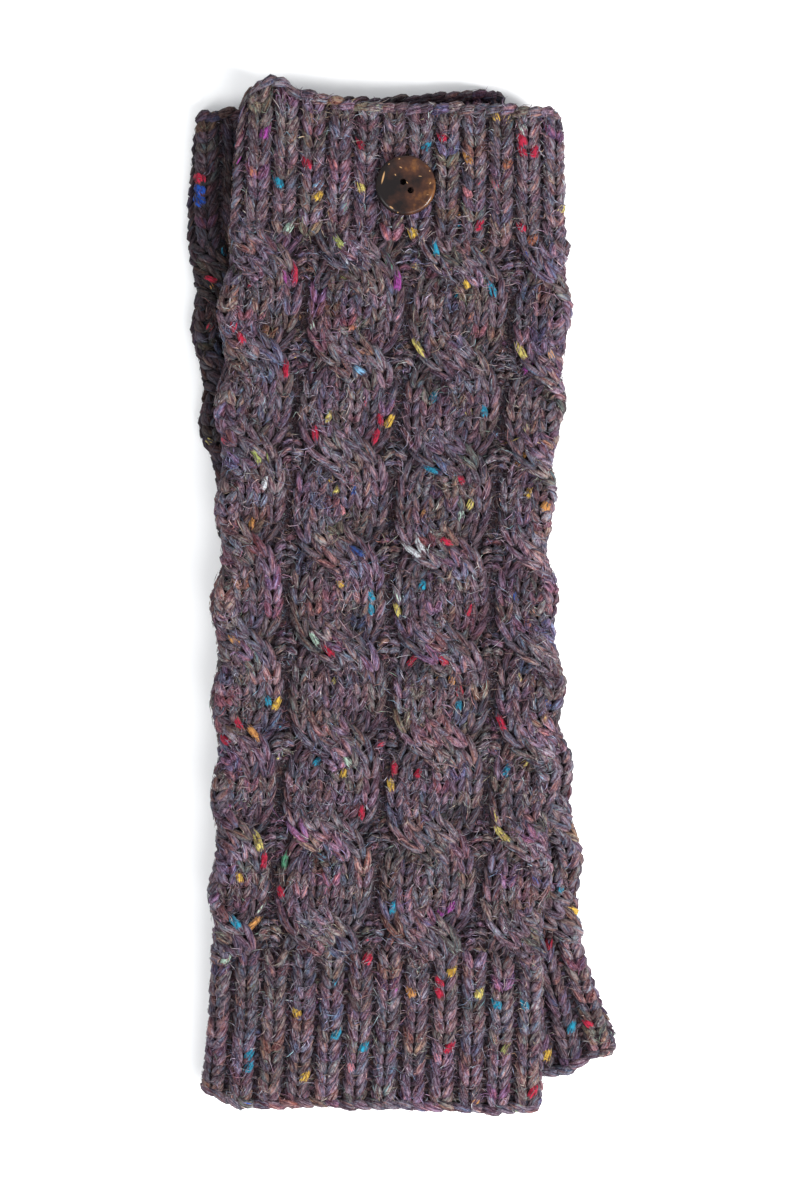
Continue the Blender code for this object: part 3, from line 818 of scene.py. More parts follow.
def yarn_object(name, batches, sides, material):
    """One object of closed, tapered lengths of yarn, with their tints and fibre places."""
    points, tints, dyes, places, quads, triangles = [], [], [], [], [], []
    first = 0
    random = np.random.default_rng(len(name))
    turn = (np.arange(sides) + 0.5) * 2.0 * math.pi / sides
    for batch in batches:
        count, steps = batch.arc.shape
        rings = steps - 2
        along_arc = np.gradient(batch.arc, axis=1)
        along_down = np.gradient(batch.down, axis=1)
        size = np.hypot(along_arc, along_down)
        side_arc, side_down = -along_down / size, along_arc / size
        stretches = np.hypot(np.diff(batch.arc), np.diff(batch.down))
        travelled = np.cumsum(np.concatenate((np.zeros((count, 1)), stretches), axis=1), axis=1)
        inner = slice(1, steps - 1)
        wide = batch.wide[:, :, None] * np.cos(turn)
        high = batch.thick[:, :, None] * np.sin(turn)

        def with_tips(tips, ring_values):
            return np.concatenate((tips[:, :1], ring_values.reshape(count, -1), tips[:, -1:]), 1)

        arc = with_tips(batch.arc, batch.arc[:, inner, None] + side_arc[:, inner, None] * wide)
        down = with_tips(batch.down, batch.down[:, inner, None] + side_down[:, inner, None] * wide)
        lift = with_tips(batch.lift, batch.lift[:, inner, None] + high)
        points.append(place(batch.warmer, down, arc, lift).reshape(-1, 3))

        twist = turn + travelled[:, inner, None] * FIBRE_TURNS
        lengthwise = np.broadcast_to(travelled[:, inner, None] * FIBRE_LENGTH, twist.shape)
        fibre = np.stack((with_tips(travelled * FIBRE_LENGTH, lengthwise),
                          with_tips(travelled * 0.0, np.cos(twist) * batch.wide[:, :, None]),
                          with_tips(travelled * 0.0, np.sin(twist) * batch.thick[:, :, None])), -1)
        scatter = random.uniform(-FIBRE_SCATTER, FIBRE_SCATTER, (count, 1, 3))
        places.append((fibre + scatter).reshape(-1, 3))

        # painted shade round each length: darker on its underside and at its ends
        underside_shade = blend(DEEP_SHADE, 1.0, ease((np.sin(turn) - DEEP_LEVEL) / DEEP_RUN))
        ends = np.ones(rings)
        ends[0], ends[-1] = (1.0 + END_SHADE) / 2, END_SHADE
        shade = np.concatenate(((END_SHADE,), np.outer(ends, underside_shade).ravel(), (TIP_SHADE,)))
        tint = batch.tint[:, None, :] * shade[None, :, None]
        tints.append(opaque(tint.reshape(-1, 3)))
        amount = np.repeat(np.where(ends < 1.0, END_DYE, 1.0), sides)
        amount = np.concatenate(((0.0,), amount, (0.0,)))
        dye = np.repeat(batch.dye[:, None, :], len(shade), axis=1)
        # the flecks take the painted shade too, more weakly
        dye[:, :, :3] *= shade[None, :, None] ** 0.5
        dye[:, :, 3] *= amount[None, :]
        dyes.append(dye.reshape(-1, 4))

        starts = first + np.arange(count)[:, None, None] * len(shade)
        body, caps = tube_faces(rings, sides)
        quads.append((starts + body[None]).reshape(-1, 4))
        triangles.append((starts + caps[None]).reshape(-1, 3))
        first += count * len(shade)
    item = new_mesh(name, np.concatenate(points), np.concatenate(quads)[:, ::-1],
                    np.concatenate(triangles)[:, ::-1], material)
    set_attributes(item, np.concatenate(tints), np.concatenate(dyes), np.concatenate(places))
    return item


SHELL_SINK = 2.2           # how far the shell lies below the stitches' tops
SHELL_ROWS = 84
SHELL_COLUMNS = 80
# painted shade: the shell is toned dark so that the gaps between the stitches read dark, darkest in
# the valleys
SHELL_SHADE = (0.26, 0.62)    # of the wool's tone, in the valleys and on the cables
SHELL_LOWEST = -0.9
SHELL_END = 0.6            # from the shell's ends to the warmer's
SHELL_STRETCH = 0.4        # its fibres run along the tube


def surface_relief(warmer, down, arc):
    """Height of the ribs and cables over the ground, at places on the top and folds."""
    middle = blend(warmer.valley_start, warmer.valley_end, down / warmer.length)
    column = CABLES_ON_TOP * CABLE_STITCHES / 2 + (arc - middle) / STITCH
    relief = cable_relief(column, down) * fold_share(warmer, down, arc)
    for cuff, inside in ((warmer.top_cuff, down < TOP_CUFF_LENGTH),
                         (warmer.bottom_cuff, down > TOP_CUFF_LENGTH + LEG_LENGTH)):
        part = (arc - cuff.rib_phase) / rib_width(warmer, cuff, down)
        ribs = RIB_RELIEF * np.abs(np.sin(math.pi * part)) ** 0.8
        relief = np.where(inside, ribs, relief)
    return relief


def cloth_shell(warmer, material):
    """The closed wall of cloth that the stitches lie on, in the form of the solids."""
    down = np.linspace(SHELL_END, warmer.length - SHELL_END, SHELL_ROWS)[:, None]
    part = np.arange(SHELL_COLUMNS)[None, :] / SHELL_COLUMNS
    arc = (part - 0.5) * whole_arc(warmer, down)
    down = np.broadcast_to(down, arc.shape)
    outer_lift = np.maximum(surface_relief(warmer, down, arc) - SHELL_SINK, SHELL_LOWEST)
    outer = place(warmer, down, arc, outer_lift)
    flat = flat_half(warmer, down)
    up = np.cos(np.clip((np.abs(arc) - flat) / FOLD_RADIUS, 0.0, math.pi))
    to_mouth = np.minimum(down, warmer.length - down)
    flare = MOUTH_FLARE * (1.0 - ease(to_mouth / MOUTH_DEPTH))
    thin = (BOTTOM_WALL - TOP_WALL) / 2
    inner_lift = -(FOLD_RADIUS - INNER_GAP / 2) + flare + thin * up
    inner = place(warmer, down, arc, inner_lift, pressed=False)
    points = np.concatenate((outer, inner[::-1])).reshape(-1, 3)
    loops = 2 * SHELL_ROWS
    row, column = np.meshgrid(np.arange(loops), np.arange(SHELL_COLUMNS), indexing="ij")
    following, after = (row + 1) % loops, (column + 1) % SHELL_COLUMNS
    quads = np.stack((row * SHELL_COLUMNS + column, row * SHELL_COLUMNS + after,
                      following * SHELL_COLUMNS + after, following * SHELL_COLUMNS + column), -1)
    item = new_mesh(warmer.name + "_cloth", points, quads.reshape(-1, 4)[:, ::-1],
                    np.zeros((0, 3), int), material)
    # painted shade on the shell, darker where it lies low
    height = np.concatenate((outer_lift, inner_lift * 0.0)).ravel()
    shade = blend(*SHELL_SHADE, ease(height / (CABLE_RELIEF * 0.5)))
    tint = opaque(np.array(WOOL_TONES[1]) * shade[:, None])
    set_attributes(item, tint, np.zeros((len(points), 4)), points * (1.0, SHELL_STRETCH, 1.0))
    return item


SHORT_FIBRE = np.array((0.0, 0.5, 1.0))
LONG_FIBRE = np.array((0.0, 0.32, 0.68, 1.0))
FIBRE_SPOTS = (0.12, 0.8)      # how far along a stitch a fibre starts
FIBRE_OFF = 0.65               # how far from its middle at most, in its half widths
FIBRE_STRAY = 0.5              # how far a fibre's heading lies off the stitch's, in radians
FIBRE_BEND = 0.65              # and how far it turns along its length
FIBRE_LENGTHS = (5.0, 0.2)     # a gamma's shape and scale
FIBRE_SURFACE = 0.85           # of a stitch's thickness, where the fibres on it lie
FIBRE_SETTLE = 0.3             # how much lower its end lies
FIBRE_ARCH = 0.8               # how much of a half wave it rises and falls in
FOLD_SHORTER = 0.4             # on a fold, how much shorter it is
FOLD_NARROWER = 0.5            # how much less it runs round the tube
FOLD_LOWER = 0.7               # and how much less it stands off
MOUTH_GAP = 0.5                # from an open end, past which its reach counts less
MOUTH_SHARE = 0.45             # and how much of it counts there
FIBRE_RADII = (0.09, 0.18)
FIBRE_LIGHT = (0.74, 0.35)     # how much lighter than its stitch: the logarithm, and its spread
FIBRE_HUE = (0.93, 1.05, 1.0)
FIBRE_HUE_SPREAD = 0.08
FIBRE_TINTS = (0.005, 0.28)
FOLD_CLOSE = 0.7               # how far it lies over the relief on a fold


def fluff(batches, count, points, mean_length, rise, seed):
    """Loose fibres that start on the stitches, follow them roughly and stand off a little."""
    random = np.random.default_rng(seed)
    shown = [np.arange(len(batch.arc)) if batch.warmer is UPPER
             else np.flatnonzero(uncovered(batch_middles(batch))) for batch in batches]
    weights = np.array([len(lengths) for lengths in shown], dtype=float)
    shares = np.floor(weights / weights.sum() * count).astype(int)
    t = points[None, :]
    parts = []
    for batch, lengths, share in zip(batches, shown, shares):
        if share == 0:
            continue
        steps = batch.arc.shape[1]
        pick = lengths[random.integers(0, len(lengths), share)]
        spot = random.uniform(*FIBRE_SPOTS, share) * (steps - 1)
        low = np.floor(spot).astype(int)
        part = spot - low

        def read(values):
            return (values[pick, low] * (1.0 - part) + values[pick, low + 1] * part)[:, None]

        run_arc = (batch.arc[pick, -1] - batch.arc[pick, 0])[:, None]
        run_down = (batch.down[pick, -1] - batch.down[pick, 0])[:, None]
        run = np.hypot(run_arc, run_down)
        wide = batch.wide[pick].max(axis=1)[:, None]
        thick = batch.thick[pick].max(axis=1)[:, None]
        off = random.uniform(-FIBRE_OFF, FIBRE_OFF, (share, 1))
        start_arc = read(batch.arc) - run_down / run * off * wide
        start_down = read(batch.down) + run_arc / run * off * wide
        foot = read(batch.lift) + thick * np.sqrt(1.0 - off ** 2)
        surface = batch.lift[pick].max(axis=1)[:, None] + thick * FIBRE_SURFACE
        on_fold = ease((np.abs(start_arc) - flat_half(batch.warmer, start_down)) / FOLD_RUN)
        surface = blend(surface, np.minimum(surface, foot), on_fold)
        heading = np.arctan2(run_down, run_arc) + math.pi * random.integers(0, 2, (share, 1))
        heading = heading + jitter(random, FIBRE_STRAY, share)
        heading = heading + jitter(random, FIBRE_BEND, share) * t
        length = mean_length * random.gamma(*FIBRE_LENGTHS, (share, 1))
        length = length * (1.0 - FOLD_SHORTER * on_fold)
        arc = start_arc + np.cos(heading) * t * length * (1.0 - FOLD_NARROWER * on_fold)
        down = start_down + np.sin(heading) * t * length
        stand = rise * np.abs(jitter(random, 1.0, share)) * (1.0 - FOLD_LOWER * on_fold)
        lift = blend(foot, surface, ease(2.0 * t)) - FIBRE_SETTLE * t
        lift = lift + stand * np.sin(math.pi * FIBRE_ARCH * t)
        size = random.uniform(*FIBRE_RADII, (share, 1)) * np.ones((1, len(points) - 2))
        light = np.exp(random.normal(*FIBRE_LIGHT, (share, 1)))
        hue = random.normal(1.0, FIBRE_HUE_SPREAD, (share, 3)) * FIBRE_HUE
        # a fibre takes its stitch's tint, painted shade included
        tint = np.clip(batch.tint[pick] * light * hue, *FIBRE_TINTS)
        inside = np.clip(down, MOUTH_GAP, batch.warmer.length - MOUTH_GAP)
        down = blend(inside, down, MOUTH_SHARE)
        over_fold = ease((np.abs(arc) - flat_half(batch.warmer, down)) / FOLD_RUN)
        close = surface_relief(batch.warmer, inside, arc) + FOLD_CLOSE
        lift = blend(lift, np.minimum(lift, close), over_fold)
        parts.append((arc, down, lift, size, size, tint))
    return joined(batches[0].warmer, parts)


BLACK = (0.0, 0.0, 0.0)
WHITE = (1.0, 1.0, 1.0)
ORIGIN = (0.0, 0.0, 0.0)


def new_material(name):
    """A material with nodes, its tree and its shader."""
    material = bpy.data.materials.new(name)
    material.use_nodes = True
    return material, material.node_tree, material.node_tree.nodes["Principled BSDF"]


def set_inputs(node, values):
    for name, value in values.items():
        node.inputs[name].default_value = value


def feed(tree, socket, value):
    """Links a socket to an output, or gives it a constant."""
    if hasattr(value, "is_output"):
        tree.links.new(value, socket)
    else:
        socket.default_value = value


def attribute_node(tree, name):
    node = tree.nodes.new("ShaderNodeAttribute")
    node.attribute_name = name
    return node


def noise_node(tree, vector, scale, detail, roughness):
    node = tree.nodes.new("ShaderNodeTexNoise")
    set_inputs(node, {"Scale": scale, "Detail": detail, "Roughness": roughness})
    tree.links.new(vector, node.inputs["Vector"])
    return node.outputs["Fac"]


def ramp_node(tree, value, stops):
    node = tree.nodes.new("ShaderNodeValToRGB")
    elements = node.color_ramp.elements
    while len(elements) < len(stops):
        elements.new(0.5)
    for element, (position, colour) in zip(elements, stops):
        element.position = position
        element.color = (*colour, 1.0)
    tree.links.new(value, node.inputs["Fac"])
    return node.outputs["Color"]


def mix_node(tree, kind, factor, first, second):
    node = tree.nodes.new("ShaderNodeMix")
    node.data_type = "RGBA"
    node.blend_type = kind
    feed(tree, node.inputs[0], factor)
    tree.links.new(first, node.inputs[6])
    tree.links.new(second, node.inputs[7])
    return node.outputs[2]


def math_node(tree, operation, *values):
    node = tree.nodes.new("ShaderNodeMath")
    node.operation = operation
    for socket, value in zip(node.inputs, values):
        feed(tree, socket, value)
    return node.outputs[0]


def mapping_node(tree, location, turn, scale):
    """Places on the object, seen from a spot of a given place, turn and size."""
    places = tree.nodes.new("ShaderNodeTexCoord")
    node = tree.nodes.new("ShaderNodeMapping")
    node.vector_type = "TEXTURE"
    set_inputs(node, {"Location": location, "Rotation": (0.0, 0.0, turn), "Scale": scale})
    tree.links.new(places.outputs["Object"], node.inputs["Vector"])
    return node.outputs["Vector"]


def add_bump(tree, shader, height, strength, distance):
    relief = tree.nodes.new("ShaderNodeBump")
    set_inputs(relief, {"Strength": strength, "Distance": distance * MM})
    tree.links.new(height, relief.inputs["Height"])
    tree.links.new(relief.outputs["Normal"], shader.inputs["Normal"])


# The turns in the plane, spacing and width of the fine fibres that lie over the stitches
FUZZ = (
    (math.radians(-26.0), 0.62, 0.075),
    (math.radians(21.0), 0.70, 0.070),
    (math.radians(74.0), 0.66, 0.055),
)
FUZZ_STRETCH = 6.0
FUZZ_LIGHT = (1.62, 1.94, 1.84)    # how much lighter the wool is there
FUZZ_BETWEEN = (0.92, 0.91, 0.92)


def fuzz_mask(tree, turn, closeness, width):
    """Thin, long, wandering lines over the surface, all near one direction."""
    across = MM / closeness
    stretched = (across, across * FUZZ_STRETCH, across * 1.5)
    noise = noise_node(tree, mapping_node(tree, ORIGIN, turn, stretched), 1.0, 1.0, 0.4)
    off = math_node(tree, "ABSOLUTE", math_node(tree, "SUBTRACT", noise, 0.5))
    return ramp_node(tree, off, ((width * 0.35, WHITE), (width, BLACK)))


def wool_material(name, bump, sheen):
    """Tweed wool: the stitch's tint and dye, streaked lighter and darker along the fibres."""
    material, tree, shader = new_material(name)
    fibre = attribute_node(tree, "fibre").outputs["Vector"]
    # the tint holds each stitch's tone together with its painted shade
    tint = attribute_node(tree, "tint").outputs["Color"]
    dye = attribute_node(tree, "dye")
    streaks = noise_node(tree, fibre, 1.35, 2.0, 0.6)
    contrast = ramp_node(tree, streaks, (
        (0.34, (0.21, 0.12, 0.17)),
        (0.44, (0.62, 0.48, 0.57)),
        (0.53, (1.04, 0.98, 1.03)),
        (0.65, (1.44, 1.56, 1.53)),
    ))
    hues = ramp_node(tree, noise_node(tree, fibre, 0.75, 2.0, 0.6), (
        (0.32, (0.62, 0.86, 1.12)),
        (0.43, (0.96, 0.98, 1.03)),
        (0.54, (1.12, 0.92, 1.00)),
        (0.66, (1.42, 0.94, 0.76)),
    ))
    streaked = mix_node(tree, "MULTIPLY", 1.0, tint, contrast)
    coloured = mix_node(tree, "MULTIPLY", 1.0, streaked, hues)
    faint = ramp_node(tree, streaks, (
        (0.30, (0.55, 0.55, 0.55)),
        (0.50, WHITE),
        (0.66, (1.35, 1.35, 1.35)),
    ))
    fleck = mix_node(tree, "MULTIPLY", 1.0, dye.outputs["Color"], faint)
    ragged = math_node(tree, "MULTIPLY_ADD", streaks, 2.2, -1.1)
    amount = math_node(tree, "ADD", dye.outputs["Alpha"], ragged)
    mask = ramp_node(tree, amount, ((0.64, BLACK), (0.86, WHITE)))
    some = math_node(tree, "GREATER_THAN", dye.outputs["Alpha"], 0.02)
    covered = math_node(tree, "MULTIPLY", mask, some)
    dyed_wool = mix_node(tree, "MIX", covered, coloured, fleck)
    lines = fuzz_mask(tree, *FUZZ[0])
    for direction in FUZZ[1:]:
        lines = math_node(tree, "MAXIMUM", lines, fuzz_mask(tree, *direction))
    lit = ramp_node(tree, lines, ((0.0, FUZZ_BETWEEN), (1.0, FUZZ_LIGHT)))
    final = mix_node(tree, "MULTIPLY", 1.0, dyed_wool, lit)
    tree.links.new(final, shader.inputs["Base Color"])
    set_inputs(shader, {"Roughness": 0.92, "Specular IOR Level": 0.1, "Sheen Weight": sheen,
                        "Sheen Roughness": 0.55, "Sheen Tint": (0.72, 0.68, 0.72, 1.0)})
    add_bump(tree, shader, math_node(tree, "MULTIPLY_ADD", lines, 0.25, streaks), 1.0, bump)
    return material


AMBER_SLOPE = 9.0          # how fast the shell turns to amber across the button, a metre
SHELL_AMBER = (0.30, 0.17, 0.075, 1.0)     # of its fibres
# The pale fibres in the shell: place, half length and half width in millimetres, and turn
SHELL_FIBRES = (
    (-9.2, 3.0, 3.1, 0.42, 76.0),
    (-5.8, -9.2, 1.2, 0.38, -35.0),
    (-6.8, 8.5, 0.5, 0.22, 60.0),
    (-2.6, 10.6, 0.45, 0.30, 20.0),
    (-2.0, 7.2, 0.8, 0.26, -25.0),
    (-4.2, 4.2, 0.6, 0.28, -60.0),
    (5.9, 3.6, 0.9, 0.20, -5.0),
    (9.8, 5.7, 0.4, 0.3, 0.0),
    (10.0, 0.7, 0.7, 0.32, 60.0),
    (9.0, -4.0, 0.6, 0.16, 0.0),
    (-3.2, -11.2, 0.35, 0.3, 0.0),
    (0.6, 1.0, 0.7, 0.22, -50.0),
)


def coconut_material():
    """Polished coconut shell: dark brown, mottled, with short pale fibre flecks."""
    material, tree, shader = new_material("Polished coconut shell")
    places = tree.nodes.new("ShaderNodeTexCoord").outputs["Object"]
    mottle = noise_node(tree, places, 120.0, 4.0, 0.6)
    parts = tree.nodes.new("ShaderNodeSeparateXYZ")
    tree.links.new(places, parts.inputs["Vector"])
    sideways = math_node(tree, "MULTIPLY_ADD", parts.outputs["X"], AMBER_SLOPE, mottle)
    brown = ramp_node(tree, sideways, (
        (0.38, (0.006, 0.004, 0.004)),
        (0.50, (0.018, 0.008, 0.006)),
        (0.63, (0.038, 0.015, 0.009)),
        (0.74, (0.115, 0.046, 0.015)),
    ))
    fibres = 0.0
    for x, y, half_length, half_width, turn in SHELL_FIBRES:
        spot = mapping_node(tree, (x * MM, y * MM, BUTTON_HEIGHT * MM), math.radians(turn),
                            (half_length * MM, half_width * MM, 2.0 * MM))
        ball = tree.nodes.new("ShaderNodeTexGradient")
        ball.gradient_type = "SPHERICAL"
        tree.links.new(spot, ball.inputs["Vector"])
        fibres = math_node(tree, "MAXIMUM", ball.outputs["Fac"], fibres)
    edge = ramp_node(tree, fibres, ((0.05, BLACK), (0.45, WHITE)))
    pale = tree.nodes.new("ShaderNodeRGB")
    pale.outputs[0].default_value = SHELL_AMBER
    colour = mix_node(tree, "MIX", edge, brown, pale.outputs[0])
    tree.links.new(colour, shader.inputs["Base Color"])
    set_inputs(shader, {"Roughness": 0.24, "Specular IOR Level": 0.16,
                        "Coat Weight": 0.18, "Coat Roughness": 0.08})
    add_bump(tree, shader, mottle, 0.5, 0.08)
    return material


def make_button(material):
    """The turned, dished button with its two holes."""
    rest = UPPER.base + SLICE_HEIGHT + RIB_RELIEF + SEAM
    r, h = BUTTON_RADIUS, BUTTON_HEIGHT
    profile = (
        (0.0, h - 0.60), (r * 0.45, h - 0.58), (r - 4.4, h - 0.50), (r - 3.1, h - 0.34),
        (r - 2.3, h - 0.10), (r - 1.6, h), (r - 0.95, h - 0.08), (r - 0.4, h - 0.45),
        (r - 0.08, h - 1.0), (r, h - 1.6), (r - 0.15, 1.0), (r - 0.6, 0.4),
        (r - 1.5, 0.05), (r - 2.6, 0.0), (0.0, 0.0),
    )
    mesh = bpy.data.meshes.new("coconut_button")
    points = [Vector((radius, 0.0, height)) * MM for radius, height in profile]
    mesh.from_pydata(points, [(i, i + 1) for i in range(len(points) - 1)], [])
    button = bpy.data.objects.new("coconut_button", mesh)
    bpy.context.scene.collection.objects.link(button)
    button.location = Vector((BUTTON_X, BUTTON_Y, rest)) * MM
    screw = button.modifiers.new("Turn", "SCREW")
    screw.steps = screw.render_steps = 96
    screw.use_merge_vertices = True
    screw.merge_threshold = 0.00001
    screw.use_smooth_shade = True
    cutters = []
    for side in (-1, 1):
        reach = side * HOLE_SPACING / 2
        spot = Vector((BUTTON_X + HOLE_SHIFT[0] + reach * math.cos(HOLE_TURN),
                       BUTTON_Y + HOLE_SHIFT[1] + reach * math.sin(HOLE_TURN), rest)) * MM
        bpy.ops.mesh.primitive_cylinder_add(vertices=32, radius=HOLE_RADIUS * MM,
                                            depth=4 * BUTTON_HEIGHT * MM, location=spot)
        cutter = bpy.context.object
        cut = button.modifiers.new("Hole", "BOOLEAN")
        cut.object = cutter
        cutters.append(cutter)
    bpy.context.view_layer.update()
    depsgraph = bpy.context.evaluated_depsgraph_get()
    button.data = bpy.data.meshes.new_from_object(button.evaluated_get(depsgraph))
    button.modifiers.clear()
    for cutter in cutters:
        bpy.data.objects.remove(cutter, do_unlink=True)
    button.data.materials.clear()
    button.data.materials.append(material)
    button.data.shade_smooth()
    button.data.set_sharp_from_angle(angle=math.radians(40))
    return button


def make_stage():
    """A pale floor, a soft key light from the lower right, a fill and a pale sky."""
    bpy.ops.mesh.primitive_plane_add(size=6.0, location=(0.0, 0.0, 0.0))
    floor = bpy.context.object
    floor.name = "floor"
    material, _, shader = new_material("Pale floor")
    set_inputs(shader, {"Base Color": (0.96, 0.96, 0.96, 1.0), "Roughness": 0.7})
    floor.data.materials.append(material)
    lights = (
        # name, position, size and power
        ("Key", (2.3, -1.1, 2.1), 1.1, 198.0),
        ("Fill", (-1.8, -1.5, 3.2), 2.0, 60.0),
        ("Soft", (1.0, -2.0, 3.0), 1.6, 38.0),
    )
    for name, position, size, power in lights:
        data = bpy.data.lights.new(name, "AREA")
        data.shape = "DISK"
        data.size = size
        data.energy = power
        light = bpy.data.objects.new(name, data)
        light.location = position
        light.rotation_mode = "QUATERNION"
        light.rotation_quaternion = (-Vector(position)).to_track_quat("-Z", "Y")
        bpy.context.scene.collection.objects.link(light)
    world = bpy.data.worlds.new("Studio")
    world.use_nodes = True
    set_inputs(world.node_tree.nodes["Background"],
               {"Color": (0.95, 0.97, 1.0, 1.0), "Strength": 0.78})
    bpy.context.scene.world = world
    bpy.context.scene.view_settings.view_transform = "Standard"


CAMERA_HEIGHT = 1.5
FRAME_HEIGHT_PX = 1191.0
FRAME_MIDDLE_PX = 397.0
SENSOR = 36.0
FOCUS_HEIGHT = 0.02        # the level at which the photograph's scale is read


def make_camera():
    """Straight above, with the photograph's frame."""
    data = bpy.data.cameras.new("Camera")
    data.sensor_fit = "AUTO"
    data.sensor_width = SENSOR
    shown = FRAME_HEIGHT_PX * MM_PER_PIXEL * MM
    data.lens = SENSOR * (CAMERA_HEIGHT - FOCUS_HEIGHT) / shown
    camera = bpy.data.objects.new("Camera", data)
    camera.location = ((FRAME_MIDDLE_PX - MIDDLE_X_PX) * MM_PER_PIXEL * MM, 0.0, CAMERA_HEIGHT)
    bpy.context.scene.collection.objects.link(camera)
    bpy.context.scene.camera = camera


FINE, COARSE, HIDDEN, HAIR = 5, 4, 3, 3    # sides of a length of yarn
SHADE_BESIDE = 0.34        # of the lower warmer's tone, left of the upper one
SHADE_ABOVE = 0.55         # in the strip along its top edge
SHADE_OPEN = 0.9           # and at the right
SHADE_RUN = 40.0           # either side of the middle, over which it changes
STRIP_WIDTH = 6.0          # how far from the top edge the strip's tone is whole
STRIP_RUN = 14.0
COVER_EDGE = 3.0           # this near the upper warmer's edge, the lower one shows
CUFF_BATCHES = 6           # the fronts of two cuffs, each stitches, purls and chain
FRONT = (0, CABLES_ON_TOP)
BACK = (CABLES_ON_TOP, CABLES_ROUND)
CLEAR = (LEG_POINTS, LEG_GIRTH)
PLAIN = (BACK_POINTS, BACK_GIRTH)
SHORT_LENGTH, SHORT_RISE = 3.8, 0.3
LONG_LENGTH, LONG_RISE = 5.0, 0.5


def leg_front(warmer, seed):
    """The cables on top, in full where they show and plainer where the other warmer lies."""
    if warmer is UPPER:
        return {"leg_front": ([leg_stitches(warmer, *FRONT, *CLEAR, seed + 1),
                               leg_purls(warmer, 0, CABLES_ON_TOP + 1, seed + 2)], FINE)}
    last = CABLES_ON_TOP - 1
    return {"leg_front": ([leg_stitches(warmer, 0, 1, *CLEAR, seed + 1),
                           leg_stitches(warmer, last, last + 1, *CLEAR, seed + 17),
                           leg_purls(warmer, 0, 2, seed + 2),
                           leg_purls(warmer, last, last + 2, seed + 18)], FINE),
            "leg_middle": ([leg_stitches(warmer, 1, last, *PLAIN, seed + 19),
                            leg_purls(warmer, 2, last, seed + 20)], HIDDEN)}


# Loose fibres: short on the leg, short on the cuffs, long, and short behind
FIBRE_COUNTS = {
    "upper": (28000, 9000, 10500, 2000),
    "under": (3500, 1300, 1000, 1000),
}


def cuff_groups(warmer, seed):
    """Both cuffs, front and back: each part's stitches, purls and rim, and its yarn's sides."""
    right = RIBS_ON_TOP
    last = RIBS_ON_TOP + RIBS_UNDER
    groups = {}
    for name, cuff, start, end, number in (
            ("top_cuff", warmer.top_cuff, 0.0, TOP_CUFF_LENGTH, seed + 5),
            ("bottom_cuff", warmer.bottom_cuff, LEG_END, warmer.length, seed + 11)):
        for face, ribs, valleys, form, sides, first in (
                ("front", (-right, right), (-right, right + 1), CLEAR, FINE, number),
                ("back", (right, last), (right + 1, last), PLAIN, COARSE, number + 3)):
            groups[name + "_" + face] = ([
                cuff_stitches(warmer, cuff, start, end, *ribs, *form, first),
                cuff_purls(warmer, cuff, start, end, *valleys, first + 1),
                edge_chain(warmer, cuff, start == 0.0, *ribs, first + 2)], sides)
    return groups


def make_warmer(warmer, wool, shell_wool, flecks, seed):
    """One warmer: its shell of cloth, its stitches front and back, and its edges."""
    groups = {
        **leg_front(warmer, seed),
        "leg_back": ([leg_stitches(warmer, *BACK, *PLAIN, seed + 3),
                      leg_purls(warmer, CABLES_ON_TOP + 1, CABLES_ROUND, seed + 4)], COARSE),
        **cuff_groups(warmer, seed),
    }
    for number, (batches, _) in enumerate(groups.values()):
        for batch in batches:
            sprinkle_flecks(batch, seed + 40 + number)
    in_front = [batch for name, (batches, _) in groups.items() for batch in batches
                if name.endswith("front")]
    behind = [batch for name, (batches, _) in groups.items() for batch in batches
              if name.endswith("back")]
    knit = [batches[0] for batches, _ in groups.values()]
    if warmer is UNDER:
        shade_under(in_front)
        knit.append(groups["leg_front"][0][1])
    paint_flecks(knit, flecks)
    pieces = [yarn_object(warmer.name + "_" + name, batches, sides, wool)
              for name, (batches, sides) in groups.items()]
    shell = cloth_shell(warmer, shell_wool)
    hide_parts(*[warmer.name + part for part in ("_top_cuff", "_leg", "_bottom_cuff")])
    return shell, pieces, in_front, behind


STRAW_WIDE, STRAW_THICK = 0.42, 0.22
STRAW_LIFT = 0.5
STRAW_RISE = 0.7           # of its middle over its ends
STRAW_BEND = 0.6
STRAW_SHADE = 0.8


def straws(warmer):
    """The few pale strands of plant fibre caught in the yarn."""
    t = LONG_FIBRE[None, :]
    parts = []
    for x, y, length, turn, colour in STRAWS:
        down = warmer.top_y - (MIDDLE_Y_PX - y) * MM_PER_PIXEL
        centre = slice_value(warmer, down, "centre")
        arc = (x - MIDDLE_X_PX) * MM_PER_PIXEL - centre
        angle = math.radians(turn)
        path = (t - 0.5) * length
        arcs = arc + path * math.cos(angle)
        bow = np.sin(math.pi * t)
        downs = down - path * math.sin(angle) + STRAW_BEND * bow
        lift = surface_relief(warmer, downs, arcs) + STRAW_LIFT + STRAW_RISE * bow
        wide, thick = np.full((1, 2), STRAW_WIDE), np.full((1, 2), STRAW_THICK)
        parts.append((arcs, downs, lift, wide, thick,
                      np.array([FLECK_COLOURS[colour]]) * STRAW_SHADE))
    return joined(warmer, parts)


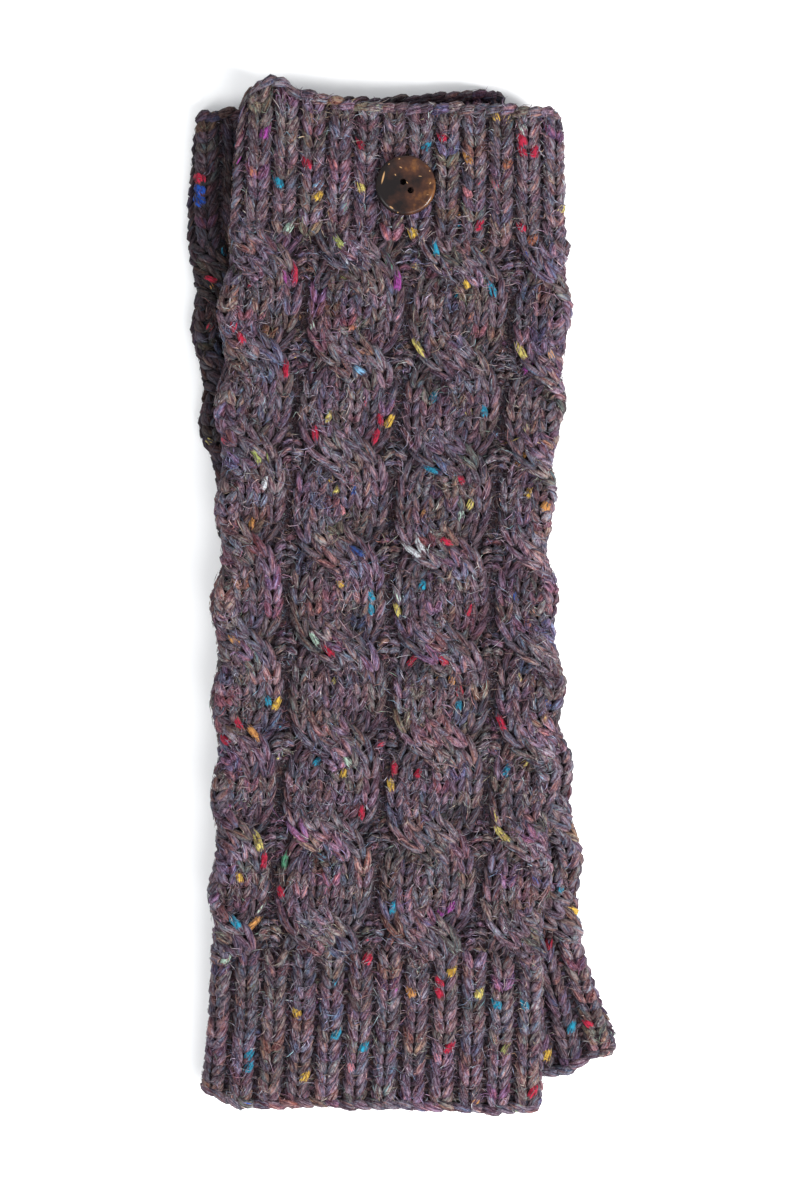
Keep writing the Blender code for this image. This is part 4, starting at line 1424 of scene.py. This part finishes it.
def shade_under(batches):
    """Tones the lower warmer down where it lies in the shade of the upper one."""
    for batch in batches:
        points = batch_middles(batch)
        half = batch.arc.shape[1] // 2
        beside = blend(SHADE_BESIDE, SHADE_OPEN, ease((points[:, 0] + SHADE_RUN) / (2 * SHADE_RUN)))
        above = blend(SHADE_ABOVE, 1.0, ease((batch.down[:, half] - STRIP_WIDTH) / STRIP_RUN))
        batch.tint[:] *= np.minimum(beside, above)[:, None]


def uncovered(points):
    """Whether places on the lower warmer show beside the upper one, from above or below."""
    down = UPPER.top_y - points[:, 1]
    half = slice_value(UPPER, down, "half_width")
    beside = np.abs(points[:, 0] - slice_value(UPPER, down, "centre")) > half - COVER_EDGE
    shown = beside | (down < COVER_EDGE) | (down > UPPER.length - COVER_EDGE)
    return np.where(points[:, 2] > FOLD_RADIUS, shown & (points[:, 2] > SLICE_HEIGHT), True)


def main():
    make_camera()
    make_stage()
    wool = wool_material("Tweed wool", 0.45, 0.06)
    shell_wool = wool_material("Tweed wool, inside", 0.5, 0.02)
    hair_wool = wool_material("Loose wool fibres", 0.05, 0.05)
    for warmer, flecks, seed in ((UNDER, UNDER_FLECKS, 100), (UPPER, UPPER_FLECKS, 200)):
        shell, pieces, in_front, behind = make_warmer(warmer, wool, shell_wool, flecks, seed)
        on_leg, on_cuffs, long, hidden = FIBRE_COUNTS[warmer.name]
        legs, cuffs = in_front[:-CUFF_BATCHES], in_front[-CUFF_BATCHES:]
        short = (SHORT_FIBRE, SHORT_LENGTH, SHORT_RISE)
        fibres = {
            "leg_fibres": [fluff(legs, on_leg, *short, seed + 30)],
            "cuff_fibres": [fluff(cuffs, on_cuffs, *short, seed + 33),
                            fluff(behind, hidden, *short, seed + 31)],
            "long_fibres": [fluff(in_front, long, LONG_FIBRE, LONG_LENGTH, LONG_RISE, seed + 32)],
        }
        if warmer is UPPER:
            fibres["long_fibres"].append(straws(warmer))
        for name, batches in fibres.items():
            pieces.append(yarn_object(warmer.name + "_" + name, batches, HAIR, hair_wool))
        for piece in (shell, *pieces):
            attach(piece, "root")
    button = make_button(coconut_material())
    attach(button, "root")
    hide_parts("upper_button")


main()
